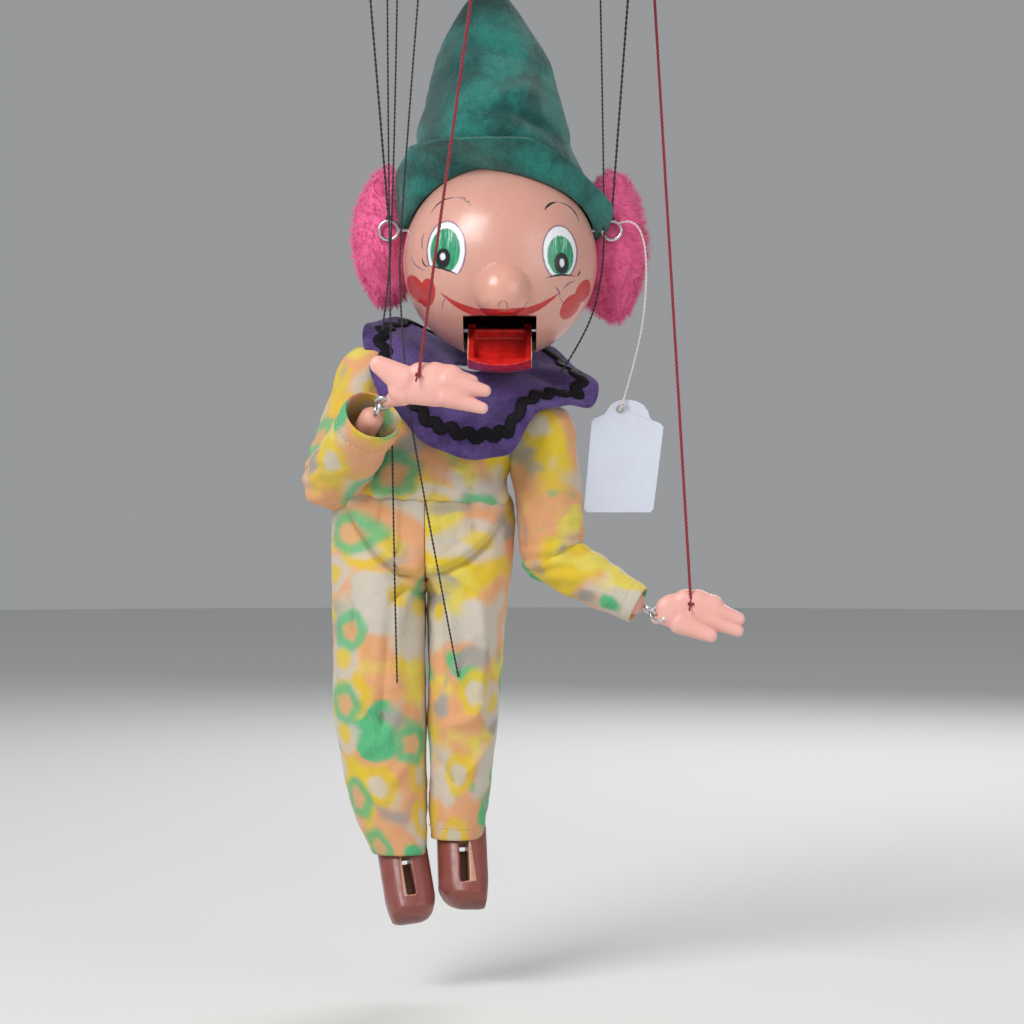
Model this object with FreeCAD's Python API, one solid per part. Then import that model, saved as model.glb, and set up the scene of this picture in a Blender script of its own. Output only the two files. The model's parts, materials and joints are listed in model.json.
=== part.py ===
"""A string marionette: a clown with a moving mouth, hung from a small wooden control.

Millimetres. The puppet faces -Y and +Z is up. The origin is the centre of the hanging hole in
the control's main bar. "r" is the puppet's own right side, at -X.
"""
import FreeCAD, Part
import math
import os

from FreeCAD import Vector as V

# ---- driving sizes ----
WIRE = 0.7              # radius of the wire of a screw eye
EYE = 2.8               # radius of a screw eye, to the middle of its wire
EYE_GAP = 0.25          # play between two linked eyes
SHOULDER_GAP = 0.7      # play at the shoulders, which turn about a slanting axis
PIN = 1.0               # radius of the hinge pins
PIN_PLAY = 0.05         # running clearance round a pin
TONGUE = 3.0            # thickness of a hinge tongue
SLOT_PLAY = 0.25        # clearance each side of a tongue
CLOTH = 0.8             # wall of the jumpsuit
FELT = 1.8              # wall of the hat
RUFF_HOLE = 4.0         # radius of the holes in the ruff for the shoulder strings
RUFF_HOLE_X = (-46.8, 17.3)
BRAID = 0.6             # thickness of the braid on the ruff

HEAD = V(0.4, 0, -131.4)
HEAD_R = 37.8
HEAD_WALL = 4.5
EAR = V(43.6, 3.0, 12.6)         # left ear eye, from the middle of the head
EAR_RING = 3.7
MOUTH_HALF = 14.0
JAW_HALF = 12.3
JAW_R = 43.4                    # radius of the jaw's rounded front, about the middle of the head
JAW_PIVOT = V(0, -8, -27)       # from the middle of the head
JAW_OPEN = 38.0                 # degrees that the jaw hangs open

SHOULDER = {"r": V(-50.5, 1, -175.0), "l": V(16.4, 0, -196.2)}
ELBOW = {"r": V(-63.4, -8, -217.3), "l": V(21.0, -3, -247.5)}
WRIST = {"r": V(-46.2, -40, -191.5), "l": V(55.6, -11.2, -265.7)}
FINGERS = {"r": V(-3.0, -52, -187.0), "l": V(94.0, -16, -271.6)}
THUMB = {"r": V(-43.5, -50, -175.5), "l": V(81.0, -15, -276.6)}
WAIST = V(-32.6, 0, -222.6)
HIP = {"r": V(-45.6, 1, -248.4), "l": V(-13.6, 1, -248.4)}
KNEE = {"r": V(-44.1, -2, -304.2), "l": V(-14.0, -2, -302.3)}
ANKLE = {"r": V(-37.6, 1, -361.5), "l": V(-14.6, 3, -356.5)}
TOE = {"r": V(-33.8, -11, -387.0), "l": V(-10.4, -9, -381.5)}
FOOT_TURN = {"r": 9.0, "l": 6.0}    # degrees that the feet turn to the left

ARM_R = 4.5
FOOT_HALF = 9.6
FOOT_TOP = 4.5           # above the ankle pin
TENON_HALF = 3.6
LEG_R = 6.5
HAND_HOLE = {"r": V(-29.5, -52, -178.5), "l": V(73.9, -14, -264.5)}

BAR_W = 14.0
BAR_H = 12.0
BAR_FRONT = -68.0
BAR_BACK = 55.0
HANG_HOLE_R = 3.0
HEAD_BAR_Y = 3.0
LEG_BAR_Y = -26.0
CROSS_W = 10.0
CROSS_H = 8.0
HEAD_BAR_HALF = 66.0
LEG_BAR_HALF = 50.0
PEG_R = 2.0
STRING_GAP = 0.05        # below a bar, so that a slanting end stays out of the wood

X = V(1, 0, 0)
Y = V(0, 1, 0)
Z = V(0, 0, 1)


# ---- helpers ----
def unit(v):
    return V(v) / v.Length


def rod(a, b, r):
    return Part.makeCylinder(r, (b - a).Length, a, b - a)


def cone(a, b, ra, rb):
    return Part.makeCone(ra, rb, (b - a).Length, a, b - a)


def bar(a, b, r):
    """A rod with round ends."""
    return rod(a, b, r).fuse([Part.makeSphere(r, a), Part.makeSphere(r, b)]).removeSplitter()


def block(low, high):
    return Part.makeBox(high.x - low.x, high.y - low.y, high.z - low.z, low)


def placed(shape, origin, x_axis, z_axis):
    """The shape moved from its own axes to an origin with this X axis and, nearly, this Z axis."""
    x = unit(x_axis)
    y = unit(unit(z_axis).cross(x))
    z = x.cross(y)
    m = FreeCAD.Matrix(x.x, y.x, z.x, origin.x, x.y, y.y, z.y, origin.y, x.z, y.z, z.z, origin.z)
    s = shape.copy()
    s.Placement = FreeCAD.Placement(m).multiply(s.Placement)
    return s


def across(axis, direction):
    """The direction with any part of it along the axis taken out."""
    return unit(direction - axis * axis.dot(direction))


def eye(centre, ring_normal, shank_to, shank, radius=EYE, wire=WIRE):
    """A screw eye: a ring with a straight shank that leaves it towards shank_to."""
    ring = Part.makeTorus(radius, wire, centre, ring_normal)
    start = centre + shank_to * radius
    return ring.fuse(rod(start, start + shank_to * shank, wire)).removeSplitter()


def linked_eyes(point, axis, to_fixed, to_moving, fixed_shank, moving_shank, gap=EYE_GAP):
    """Two linked eyes. The moving one turns about the fixed one's wire, at point, along axis."""
    axis = unit(axis)
    a = across(axis, to_fixed)
    b = across(axis, to_moving)
    fixed = eye(point + a * EYE, axis.cross(a), a, fixed_shank)
    moving = eye(point + b * (EYE - 2 * WIRE - gap), axis, b, moving_shank)
    return fixed, moving


def knuckle(top, pivot, axis, r, reach):
    """A dowel that ends in a round, slotted knuckle about the pivot, and its pin."""
    along = unit(pivot - top)
    body = bar(top, pivot, r)
    half = TONGUE / 2 + SLOT_PLAY
    slot = block(V(-half, -2 * r - reach, -2 * r), V(half, 2 * r + reach, reach))
    body = body.cut(placed(slot, pivot, axis, along * -1))
    pin = rod(pivot - axis * (r - 0.6), pivot + axis * (r - 0.6), PIN)
    return body.cut(pin), pin


def tongued(pivot, end, axis, r, start, tongue_r):
    """A dowel with a tongue that turns about the pivot. Its round part begins at start."""
    along = unit(end - pivot)
    body = rod(pivot + along * start, end, r).fuse(Part.makeSphere(r, end))
    disc = Part.makeCylinder(tongue_r, TONGUE, pivot - axis * (TONGUE / 2), axis)
    strip = block(V(-TONGUE / 2, -tongue_r, 0), V(TONGUE / 2, tongue_r, start + 4))
    tongue = disc.fuse(placed(strip, pivot, axis, along))
    hole = rod(pivot - axis * 5, pivot + axis * 5, PIN + PIN_PLAY)
    return body.fuse(tongue).removeSplitter().cut(hole)


def cord(points, r):
    """A round cord along straight runs joined by arcs that touch both runs. Prints the radii."""
    arcs = []
    edges = []
    start = points[0]
    radii = []
    for before, corner, after in zip(points, points[1:], points[2:]):
        a = before - corner
        b = after - corner
        turn = math.pi - a.getAngle(b)
        back = 0.45 * min(a.Length, b.Length)
        p = corner + unit(a) * back
        q = corner + unit(b) * back
        radius = back / math.tan(turn / 2)
        radii.append(round(radius, 1))
        centre = corner + unit(unit(a) + unit(b)) * (radius / math.cos(turn / 2))
        middle = centre + unit(corner - centre) * radius
        edges.append(Part.LineSegment(start, p).toShape())
        arcs.append(Part.Arc(p, middle, q).toShape())
        edges.append(arcs[-1])
        start = q
    edges.append(Part.LineSegment(start, points[-1]).toShape())
    path = Part.Wire(edges)
    profile = Part.Wire(Part.makeCircle(r, points[0], points[1] - points[0]))
    tube = path.makePipeShell([profile], True, False)
    share = tube.Volume / (math.pi * r * r * path.Length)
    print("cord length", round(path.Length, 1), "radii", radii, "volume share", round(share, 3))
    return tube


def export(name, *solids):
    shape = solids[0] if len(solids) == 1 else Part.makeCompound(list(solids))
    for s in shape.Solids:
        if not s.isValid():
            print("not valid:", name)
    print(name, len(shape.Solids), [round(v, 1) for v in (shape.BoundBox.ZMin, shape.BoundBox.ZMax)])
    shape.exportStep("parts/" + name + ".step")


# ---- control ----
def control():
    under = -BAR_H / 2
    head_low = under - CROSS_H
    main = block(V(-BAR_W / 2, BAR_FRONT, under), V(BAR_W / 2, BAR_BACK, BAR_H / 2))
    main = main.makeFillet(2.0, [e for e in main.Edges if abs(e.Length - (BAR_BACK - BAR_FRONT)) < 0.01])
    main = main.cut(rod(V(-20, 0, 0), V(20, 0, 0), HANG_HOLE_R))
    cross = {}
    pegs = []
    for name, y, half in (("head_bar", HEAD_BAR_Y, HEAD_BAR_HALF), ("leg_bar", LEG_BAR_Y, LEG_BAR_HALF)):
        piece = block(V(-half, y - CROSS_W / 2, head_low), V(half, y + CROSS_W / 2, under))
        piece = piece.makeFillet(1.5, [e for e in piece.Edges if abs(e.Length - 2 * half) < 0.01][:2])
        for side in (-1, 1):
            peg = rod(V(side * 4, y, head_low), V(side * 4, y, under + 3), PEG_R)
            pegs.append(peg)
            piece = piece.cut(peg)
            main = main.cut(peg)
        cross[name] = piece
    export("main_bar", main)
    for name, piece in cross.items():
        export(name, piece)
    export("bar_pegs", *pegs)


# ---- strings ----
def strings():
    low = -BAR_H / 2 - CROSS_H - STRING_GAP
    ring_top = V(EAR.x, EAR.y, EAR.z + EAR_RING + WIRE)
    for side, s in (("r", -1), ("l", 1)):
        ring = HEAD + V(s * ring_top.x, ring_top.y, ring_top.z)
        export("head_string_" + side, cord([V(s * 51.5, HEAD_BAR_Y, low), ring], 0.5))
    export("shoulder_string_r", cord([
        V(-39.6, HEAD_BAR_Y, low), V(-41.2, -0.4, -112), V(-44.0, 0.5, -150), SHOULDER["r"] + V(3, 1, 5.5),
    ], 0.4))
    export("shoulder_string_l", cord([
        V(39.4, HEAD_BAR_Y, low), V(41.2, -0.4, -110), V(40.6, 0.5, -138), V(33.0, 1, -163),
        SHOULDER["l"] + V(-3, 1, 6),
    ], 0.4))
    export("hand_string_r", cord([V(-5, -62, -BAR_H / 2 - STRING_GAP), HAND_HOLE["r"]], 0.6))
    export("hand_string_l", cord([V(60, HEAD_BAR_Y, low), HAND_HOLE["l"]], 0.6))
    export("knee_string_r", cord([
        V(-42.4, LEG_BAR_Y, low), V(-41.6, -22, -185), V(-38.8, -20.5, -294.4),
    ], 0.4))
    export("knee_string_l", cord([
        V(-29.0, LEG_BAR_Y, low), V(-38.4, -10, -120), V(-37.8, -17, -150), V(-34.5, -31, -184),
        V(-31.5, -31, -206), V(-15.5, -19.5, -291.8),
    ], 0.4))


# ---- head ----
def head():
    ear_eyes = []
    for s in (-1, 1):
        centre = HEAD + V(s * EAR.x, EAR.y, EAR.z)
        ear_eyes.append(eye(centre, Y, V(-s, 0, 0), 7, EAR_RING, WIRE))
    neck = eye(HEAD + V(-6, 12, -HEAD_R - 0.6), X, Z, 4.5)
    pivot = HEAD + JAW_PIVOT
    pin = rod(pivot - V(21, 0, 0), pivot + V(21, 0, 0), PIN)
    shell = Part.makeSphere(HEAD_R, HEAD).fuse(Part.makeSphere(9.6, HEAD + V(0.8, -34.4, -11.2)))
    shell = shell.cut(Part.makeSphere(HEAD_R - HEAD_WALL, HEAD))
    mouth = block(HEAD + V(-MOUTH_HALF, -50, -50), HEAD + V(MOUTH_HALF, 5, -23.4))
    shell = shell.cut(mouth).cut(Part.makeCompound(ear_eyes + [neck, pin]))
    export("head_shell", shell)
    export("head_eyes", neck, *ear_eyes)
    export("jaw_pin", pin)
    jaw(pivot)
    hair()
    hat()


def jaw(pivot):
    """A block cut from the ball, hollowed into a tray, and swung open about its pin."""
    body = block(HEAD + V(-JAW_HALF, -40, -50), HEAD + V(JAW_HALF, -11, -24.2))
    body = body.common(Part.makeSphere(JAW_R, HEAD))
    tray = block(HEAD + V(-JAW_HALF + 2.4, -31.5, -28.2), HEAD + V(JAW_HALF - 2.4, -12.5, -20))
    body = body.cut(tray)
    for s in (-1, 1):
        x = s * (JAW_HALF - 1.5)
        cheek = block(HEAD + V(x - 1.5, -14, -29.5), HEAD + V(x + 1.5, -8, -24.6))
        cheek = cheek.fuse(rod(pivot + V(x - 1.5, 0, 0), pivot + V(x + 1.5, 0, 0), 2.5))
        body = body.fuse(cheek)
    body = body.removeSplitter().cut(rod(pivot - V(20, 0, 0), pivot + V(20, 0, 0), PIN + PIN_PLAY))
    body.rotate(pivot, X, JAW_OPEN)
    export("jaw", body)


def hair():
    tufts = []
    for s in (-1, 1):
        middle = HEAD + V(s * 43.5, 22, 8)
        tuft = bar(middle - Z * 13, middle + Z * 14, 14.5)
        tuft = tuft.cut(Part.makeSphere(HEAD_R + 0.3, HEAD)).cut(hat_placed(hat_solid(-0.3)))
        tufts.append(max(tuft.Solids, key=lambda solid: solid.Volume))
    export("hair_tufts", *tufts)


def hat_solid(shrink):
    """The hat's cone without its hollow, made smaller by shrink all round, about its own axis."""
    profile = [(39.9, -20), (39.9, 4), (39.6, 18), (36.0, 31), (29.5, 44), (28.0, 60), (23.5, 78),
               (13.0, 98), (2.6, 111)]
    points = [V(max(r - shrink, 0.4), 0, z) for r, z in profile]
    points[-1].z -= 1.5 * shrink
    curve = Part.BSplineCurve()
    curve.interpolate(points)
    top = V(0, 0, points[-1].z)
    low = V(0, 0, points[0].z)
    sides = [(points[-1], top), (top, low), (low, points[0])]
    wire = Part.Wire([curve.toShape()] + [Part.LineSegment(a, b).toShape() for a, b in sides])
    return Part.Face(wire).revolve(V(0, 0, 0), Z, 360)


def hat_placed(shape):
    return placed(shape, HEAD, X, V(-0.035, 0.1, 1))


def hat():
    """A felt cone that leans back a little, with its rim cut on a slope: high in front, low behind."""
    felt = hat_placed(hat_solid(0)).cut(hat_placed(hat_solid(FELT)))
    felt = felt.cut(Part.makeSphere(HEAD_R + 0.2, HEAD))
    below = block(V(-90, -90, -90), V(90, 90, 0))
    below = placed(below, HEAD + V(0, -9, 34.5), V(1, 0, 0.05), V(0, 0.95, 1))
    felt = felt.cut(below)
    export("hat", max(felt.Solids, key=lambda solid: solid.Volume))


# ---- torso ----
def torso_axes():
    mid = (SHOULDER["r"] + SHOULDER["l"]) / 2
    right = unit(SHOULDER["l"] - SHOULDER["r"])
    return mid, right, right.cross(Y)


def oval_block(top, bottom, high, low):
    """A block from one oval (half width, half depth) down to another."""
    rings = []
    for (w, d), z in ((top, high), (bottom, low)):
        rings.append(Part.Wire([Part.Ellipse(V(0, 0, z), w, d).toShape()]))
    return Part.makeLoft(rings, True, True)


def oval_tube(top, bottom, high, low):
    """A tapered oval tube of cloth, open at both ends."""
    inner = [(w - CLOTH, d - CLOTH) for w, d in (top, bottom)]
    return oval_block(top, bottom, high, low).cut(oval_block(inner[0], inner[1], high, low))


def torso():
    mid, right, up = torso_axes()
    eyes = []
    for side, s in (("r", -1), ("l", 1)):
        eyes.append(shoulder_eyes(side)[0])
    eyes.append(waist_eyes()[0])
    chest = placed(oval_block((23.5, 12.5), (17.5, 11), -6, -35), mid, right, up)
    neck_foot = mid + right * 7 + up * -9 + V(0, 6, 0)
    neck_top = mid + right * 10 + up * 3 + V(0, 7, 0)
    chest = chest.fuse(rod(neck_foot, neck_top, 4)).removeSplitter()
    hook = eye(neck_top + V(0, 0, EYE + 0.8), Y, Z * -1, 5)
    chest = chest.cut(Part.makeCompound(eyes + [hook]))
    export("chest_block", chest)
    export("torso_eyes", *eyes)
    export("neck_hook", hook)
    ruff()
    bodice = oval_tube((25.6, 14.5), (20.0, 12.8), -4.5, -37)
    export("bodice", placed(bodice, mid, right, up))


def collar(rise, thickness):
    """A shallow cone from (radius, height) points on its under side, in the ruff's place."""
    under = [V(r, 0, z) for r, z in rise]
    over = [V(r, 0, z + thickness) for r, z in reversed(rise)]
    face = Part.Face(Part.makePolygon(under + over + under[:1]))
    shape = placed(face.revolve(V(0, 0, 0), Z, 360), V(-9.0, 5, -172.0), V(1, 0, -0.25), V(0.25, -0.42, 1))
    for x in RUFF_HOLE_X:
        shape = shape.cut(rod(V(x, 1.5, -200), V(x, 1.5, -150), RUFF_HOLE))
    return shape


def ruff():
    """A felt collar that tips down to the front and to the left, and the braid sewn on it."""
    export("ruff", collar([(12.5, -1.5), (24.0, -3.5), (38.5, -7.5)], 1.5))
    export("ruff_braid", collar([(30.5, -3.78), (34.0, -4.745)], BRAID))


# ---- arms ----
def elbow_axis(side):
    """The normal of the plane that the arm lies in. A positive turn bends the elbow further."""
    upper = ELBOW[side] - SHOULDER[side]
    fore = WRIST[side] - ELBOW[side]
    return unit(upper.cross(fore))


def shoulder_eyes(side):
    mid, right, up = torso_axes()
    inward = right if side == "r" else right * -1
    point = SHOULDER[side]
    return linked_eyes(point, Y, inward, ELBOW[side] - point, 8, 6, SHOULDER_GAP)


def arm(side):
    axis = elbow_axis(side)
    shoulder, elbow, wrist = SHOULDER[side], ELBOW[side], WRIST[side]
    down = unit(elbow - shoulder)
    out = unit(wrist - elbow)
    top_eye = shoulder_eyes(side)[1]
    upper, pin = knuckle(shoulder + down * 9, elbow, axis, ARM_R, 8.5)
    export("upper_arm_" + side, upper.cut(top_eye))
    export("arm_eye_" + side, top_eye)
    export("elbow_pin_" + side, pin)

    palm_way = unit(FINGERS[side] - wrist)
    flat = wrist_axis(side)
    staple, hand_eye = linked_eyes(wrist + out * 5.4, flat, out * -1, palm_way, 7, 5)
    fore = tongued(elbow, wrist - out * 4.2, axis, ARM_R, 9.0, 3.4)
    export("forearm_" + side, fore.cut(staple))
    export("wrist_staple_" + side, staple)
    export("hand_eye_" + side, hand_eye)
    export("hand_" + side, hand(side, palm_way).cut(hand_eye))
    sleeve(side)


def wrist_axis(side):
    """The wrist bends about the normal of the forearm and the hand."""
    out = WRIST[side] - ELBOW[side]
    return unit(out.cross(FINGERS[side] - WRIST[side]))


def hand(side, way):
    """A palm with a thumb and two blocks of fingers."""
    start = WRIST[side] + unit(WRIST[side] - ELBOW[side]) * 5.4 + way * 5.5
    tip = FINGERS[side]
    spread = unit(way.cross(V(0, -1, 0)))
    if side == "r":
        spread = spread * -1
    palm_end = start + (tip - start) * 0.52
    palm = bar(start + way * 4, palm_end, 4.2)
    for s in (-1, 1):
        knuckles = palm_end + spread * (s * 3.4)
        palm = palm.fuse(bar(start + way * 5, knuckles, 3.8))
        finger_tip = start + (tip - start) * 0.95 + spread * (s * 4.4)
        palm = palm.fuse(cone(knuckles, finger_tip, 3.8, 2.4)).fuse(Part.makeSphere(2.4, finger_tip))
    thumb = THUMB[side]
    palm = palm.fuse(bar(start + (tip - start) * 0.22, thumb, 3.2))
    return palm.removeSplitter()


def sleeve(side):
    shoulder, elbow, wrist = SHOULDER[side], ELBOW[side], WRIST[side]
    down = unit(elbow - shoulder)
    out = unit(wrist - elbow)

    def solid(shrink, past):
        top = shoulder + down * (5.5 - past)
        cuff = wrist + out * (past - 2.5)
        r = 9.6 - shrink
        upper = cone(top, elbow, r - 0.6, r)
        lower = cone(elbow, cuff, r, r - 0.8)
        return upper.fuse([lower, Part.makeSphere(r + 0.05, elbow)])

    shape = solid(0, 0).cut(solid(CLOTH, 2))
    export("sleeve_" + side, max(shape.Solids, key=lambda s: s.Volume))


# ---- pelvis and legs ----
def waist_eyes():
    up = torso_axes()[2]
    return linked_eyes(WAIST, X, up, V(0, 0, -1), 6, 5)


def hip_eyes(side):
    return linked_eyes(HIP[side], X, Z, KNEE[side] - HIP[side], 5, 6)


def pelvis():
    lower_eye = waist_eyes()[1]
    eyes = [lower_eye] + [hip_eyes(side)[0] for side in ("r", "l")]
    middle = (HIP["r"] + HIP["l"]) / 2
    body = oval_block((19, 10), (23, 11), 19.5, 7.0)
    body = placed(body, middle, X, Z)
    export("pelvis_block", body.cut(Part.makeCompound(eyes)))
    export("pelvis_eyes", *eyes)
    seat = oval_tube((27.5, 15.0), (33.0, 16.5), 19.5, -12.5)
    export("trouser_seat", placed(seat, middle, X, Z))


def ankle_axis(side):
    """The line of the ankle's pin, square to the shin."""
    turn = math.radians(FOOT_TURN[side])
    return across(unit(ANKLE[side] - KNEE[side]), V(math.cos(turn), math.sin(turn), 0))


def leg(side):
    hip, knee, ankle, toe = HIP[side], KNEE[side], ANKLE[side], TOE[side]
    down = unit(knee - hip)
    shin_way = unit(ankle - knee)
    top_eye = hip_eyes(side)[1]
    thigh, pin = knuckle(hip + down * 12, knee, X, LEG_R, 6.5)
    export("thigh_" + side, thigh.cut(top_eye))
    export("thigh_eye_" + side, top_eye)
    export("knee_pin_" + side, pin)

    shin = tongued(knee, ankle - shin_way * 22, X, LEG_R, 7.4, 4.5)
    side_way = ankle_axis(side)
    strip = block(V(-TONGUE / 2, -TENON_HALF, 0), V(TONGUE / 2, TENON_HALF, 24))
    strip = placed(strip, ankle, side_way, shin_way * -1)
    end = Part.makeCylinder(TENON_HALF, TONGUE, ankle - side_way * (TONGUE / 2), side_way)
    hole = rod(ankle - side_way * 5, ankle + side_way * 5, PIN + PIN_PLAY)
    shin = shin.fuse([strip, end]).removeSplitter().cut(hole)
    export("shin_" + side, shin)
    foot(side)

    top = hip + down * 13.5
    hem = ankle - shin_way * (FOOT_TOP + 4.7)

    def solid(shrink, past):
        a = top - down * past
        b = hem + shin_way * past
        upper = cone(a, knee, 14.6 - shrink, 13.0 - shrink)
        lower = cone(knee, b, 13.0 - shrink, 10.4 - shrink)
        return upper.fuse([lower, Part.makeSphere(13.05 - shrink, knee)])

    export("trouser_leg_" + side, solid(0, 0).cut(solid(CLOTH, 2)))


def foot(side):
    """A rounded wooden block with a slot for the shin's tenon. Its own -Z runs from heel to toe."""
    ankle, toe = ANKLE[side], TOE[side]
    side_way = ankle_axis(side)
    length = (ankle - toe).Length
    body = block(V(-FOOT_HALF, -8.5, -length), V(FOOT_HALF, 8.5, FOOT_TOP))
    body = body.makeFillet(5.5, [e for e in body.Edges if abs(e.Length - length - FOOT_TOP) < 0.01])
    nose = Part.makeCylinder(14.0, 40, V(-20, 1, -length + 14), X)
    body = body.common(nose.fuse(block(V(-20, -20, -length + 14), V(20, 20, 20))))
    half = TONGUE / 2 + SLOT_PLAY
    slot = block(V(-half, -20, -4.2), V(half, 20, 20)).fuse(block(V(-half, -20, -20), V(half, 3.0, 20)))
    pin = rod(V(-8.5, 0, 0), V(8.5, 0, 0), PIN)
    body = body.cut(slot).cut(pin)
    export("foot_" + side, placed(body, ankle, side_way, ankle - toe))
    export("ankle_pin_" + side, placed(pin, ankle, side_way, ankle - toe))


# ---- swing tag ----
def tag():
    y = -3.0
    hole = V(47.0, y, -189.0)
    thread = [HEAD + EAR + V(2.6, -1.2, 2.6), V(52.5, -0.5, -114.0), V(57.6, -1.5, -125.0),
              V(57.0, y, -150.0), V(53.0, y, -170.0), V(48.2, y - 1.2, hole.z + 3)]
    export("tag_thread", cord(thread, 0.4))
    low = V(38.0, y - 0.4, -229.0)
    outline = [V(-15, 0, 0), V(12, 0, 0), V(16, 0, 33), V(7, 0, 42), V(-2, 0, 43.5), V(-11.5, 0, 35)]
    card = Part.Face(Part.makePolygon([p + low + V(10, 0, 0) for p in outline + outline[:1]]))
    card = card.extrude(V(0, 0.8, 0))
    card = card.cut(rod(V(hole.x, y - 2, hole.z), V(hole.x, y + 2, hole.z), 1.6))
    export("tag", card)


os.makedirs("parts", exist_ok=True)
control()
strings()
head()
torso()
pelvis()
for name in ("r", "l"):
    arm(name)
    leg(name)
tag()
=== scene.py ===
"""The looks of the clown marionette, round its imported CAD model. Metres, in the CAD model's frame."""
import json
import math
import random

import bmesh
import bpy
from mathutils import Matrix, Vector, noise


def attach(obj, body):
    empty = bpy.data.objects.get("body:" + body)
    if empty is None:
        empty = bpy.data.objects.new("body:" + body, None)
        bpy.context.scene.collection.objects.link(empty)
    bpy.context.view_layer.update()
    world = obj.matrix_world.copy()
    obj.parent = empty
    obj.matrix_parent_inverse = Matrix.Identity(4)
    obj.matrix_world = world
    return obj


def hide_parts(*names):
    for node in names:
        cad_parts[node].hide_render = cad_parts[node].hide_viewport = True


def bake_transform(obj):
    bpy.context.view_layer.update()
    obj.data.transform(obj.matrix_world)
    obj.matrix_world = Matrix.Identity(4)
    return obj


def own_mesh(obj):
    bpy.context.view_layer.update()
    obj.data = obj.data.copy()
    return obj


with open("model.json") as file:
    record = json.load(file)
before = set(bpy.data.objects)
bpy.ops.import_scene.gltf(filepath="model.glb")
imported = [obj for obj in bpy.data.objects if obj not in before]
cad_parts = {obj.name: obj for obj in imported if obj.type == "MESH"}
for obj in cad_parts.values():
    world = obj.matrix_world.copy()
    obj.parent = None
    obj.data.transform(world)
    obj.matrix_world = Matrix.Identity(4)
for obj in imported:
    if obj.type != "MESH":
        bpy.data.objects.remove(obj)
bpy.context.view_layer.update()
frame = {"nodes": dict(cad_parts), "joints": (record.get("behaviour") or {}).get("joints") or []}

MM = 0.001


def mm(x, y, z):
    """A point or a vector from millimetres."""
    return Vector((x, y, z)) * MM


def clamp(value, low=0.0, high=1.0):
    return max(low, min(high, value))


def circle(count):
    """The angles of count even steps round a circle."""
    return [2 * math.pi * i / count for i in range(count)]


def compass(turn):
    """The level direction at a turn in degrees from the front, towards the puppet's left."""
    return Vector((math.sin(math.radians(turn)), -math.cos(math.radians(turn)), 0))


def spline(p0, p1, p2, p3, f):
    """A smooth curve's value between p1 and p2, where f goes from 0 to 1."""
    return ((2 * p1) + (p2 - p0) * f + (2 * p0 - 5 * p1 + 4 * p2 - p3) * (f * f)
            + (3 * p1 - p0 - 3 * p2 + p3) * (f * f * f)) * 0.5


def joint_named(name):
    return next(j for j in frame["joints"] if j["name"] == name)


# ---- driving sizes, the same as the CAD model's ----
HEAD = mm(0.4, 0, -131.4)
HEAD_R = 37.8 * MM
SHOULDER = {"r": mm(-50.5, 1, -175.0), "l": mm(16.4, 0, -196.2)}
ELBOW = {"r": mm(-63.4, -8, -217.3), "l": mm(21.0, -3, -247.5)}
WRIST = {"r": mm(-46.2, -40, -191.5), "l": mm(55.6, -11.2, -265.7)}
ANKLE = {"r": mm(-37.6, 1, -361.5), "l": mm(-14.6, 3, -356.5)}
HAND_HOLE = {"r": mm(-29.5, -52, -178.5), "l": mm(73.9, -14, -264.5)}
HEAD_BAR_Y = 3.0
LEG_BAR_Y = -26.0
BAR_LOW = -14.05
EAR = mm(43.6, 3.0, 12.6)
SIDES = ("r", "l")
SIGN = {"r": -1, "l": 1}
JAW_OPEN = math.radians(38)


# ---- stage ----
# The floor's radius and height, what the lamps point at, and the camera's place and lens in millimetres.
FLOOR_R = 4.0
FLOOR_Z = -0.415
LIT = mm(-10, 0, -230)
EYE = (0.00507, -1.0, -0.2289)
LENS = 90.14


def stage():
    world = bpy.data.worlds.new("Studio")
    bpy.context.scene.world = world
    world.use_nodes = True
    world.node_tree.nodes["Background"].inputs["Color"].default_value = (0.86, 0.88, 0.9, 1)
    world.node_tree.nodes["Background"].inputs["Strength"].default_value = 0.36
    floor = new_object("floor", *disc(FLOOR_R, FLOOR_Z))
    floor.data.materials.append(Paint("floor", (0.74, 0.74, 0.73), roughness=0.8).material)
    for name, place, size, watts in (
        ("key", (-0.75, -0.95, 0.7), 0.75, 18.0),
        ("fill", (1.1, -0.9, 0.05), 1.0, 5.0),
        ("rim", (0.35, 1.1, 0.5), 0.8, 8.0),
    ):
        data = bpy.data.lights.new(name, "AREA")
        data.energy = watts
        data.size = size
        lamp = linked(name, data)
        lamp.location = place
        lamp.rotation_euler = (LIT - lamp.location).to_track_quat("-Z", "Y").to_euler()
    bpy.context.scene.view_settings.view_transform = "Standard"


def camera():
    data = bpy.data.cameras.new("Camera")
    data.lens = LENS
    data.sensor_width = 36.0
    eye = linked("Camera", data)
    eye.location = EYE
    eye.rotation_euler = (math.radians(90), 0, 0)
    bpy.context.scene.camera = eye


# ---- meshes ----
def linked(name, data):
    """A new object in the scene."""
    piece = bpy.data.objects.new(name, data)
    bpy.context.scene.collection.objects.link(piece)
    return piece


def new_object(name, points, faces):
    data = bpy.data.meshes.new(name)
    data.from_pydata([tuple(p) for p in points], [], faces)
    data.validate()
    data.shade_smooth()
    return linked(name, data)


def disc(radius, z, count=96):
    ring = [(radius * math.cos(a), radius * math.sin(a), z) for a in circle(count)]
    return ring, [tuple(range(count))]


def ring_faces(rows, count, closed=True, offset=0):
    """Faces of a sheet of rows, each of the same count of points."""
    faces = []
    for i in range(rows - 1):
        for j in range(count if closed else count - 1):
            k = (j + 1) % count
            a, b = offset + i * count, offset + (i + 1) * count
            faces.append((a + j, a + k, b + k, b + j))
    return faces


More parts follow.
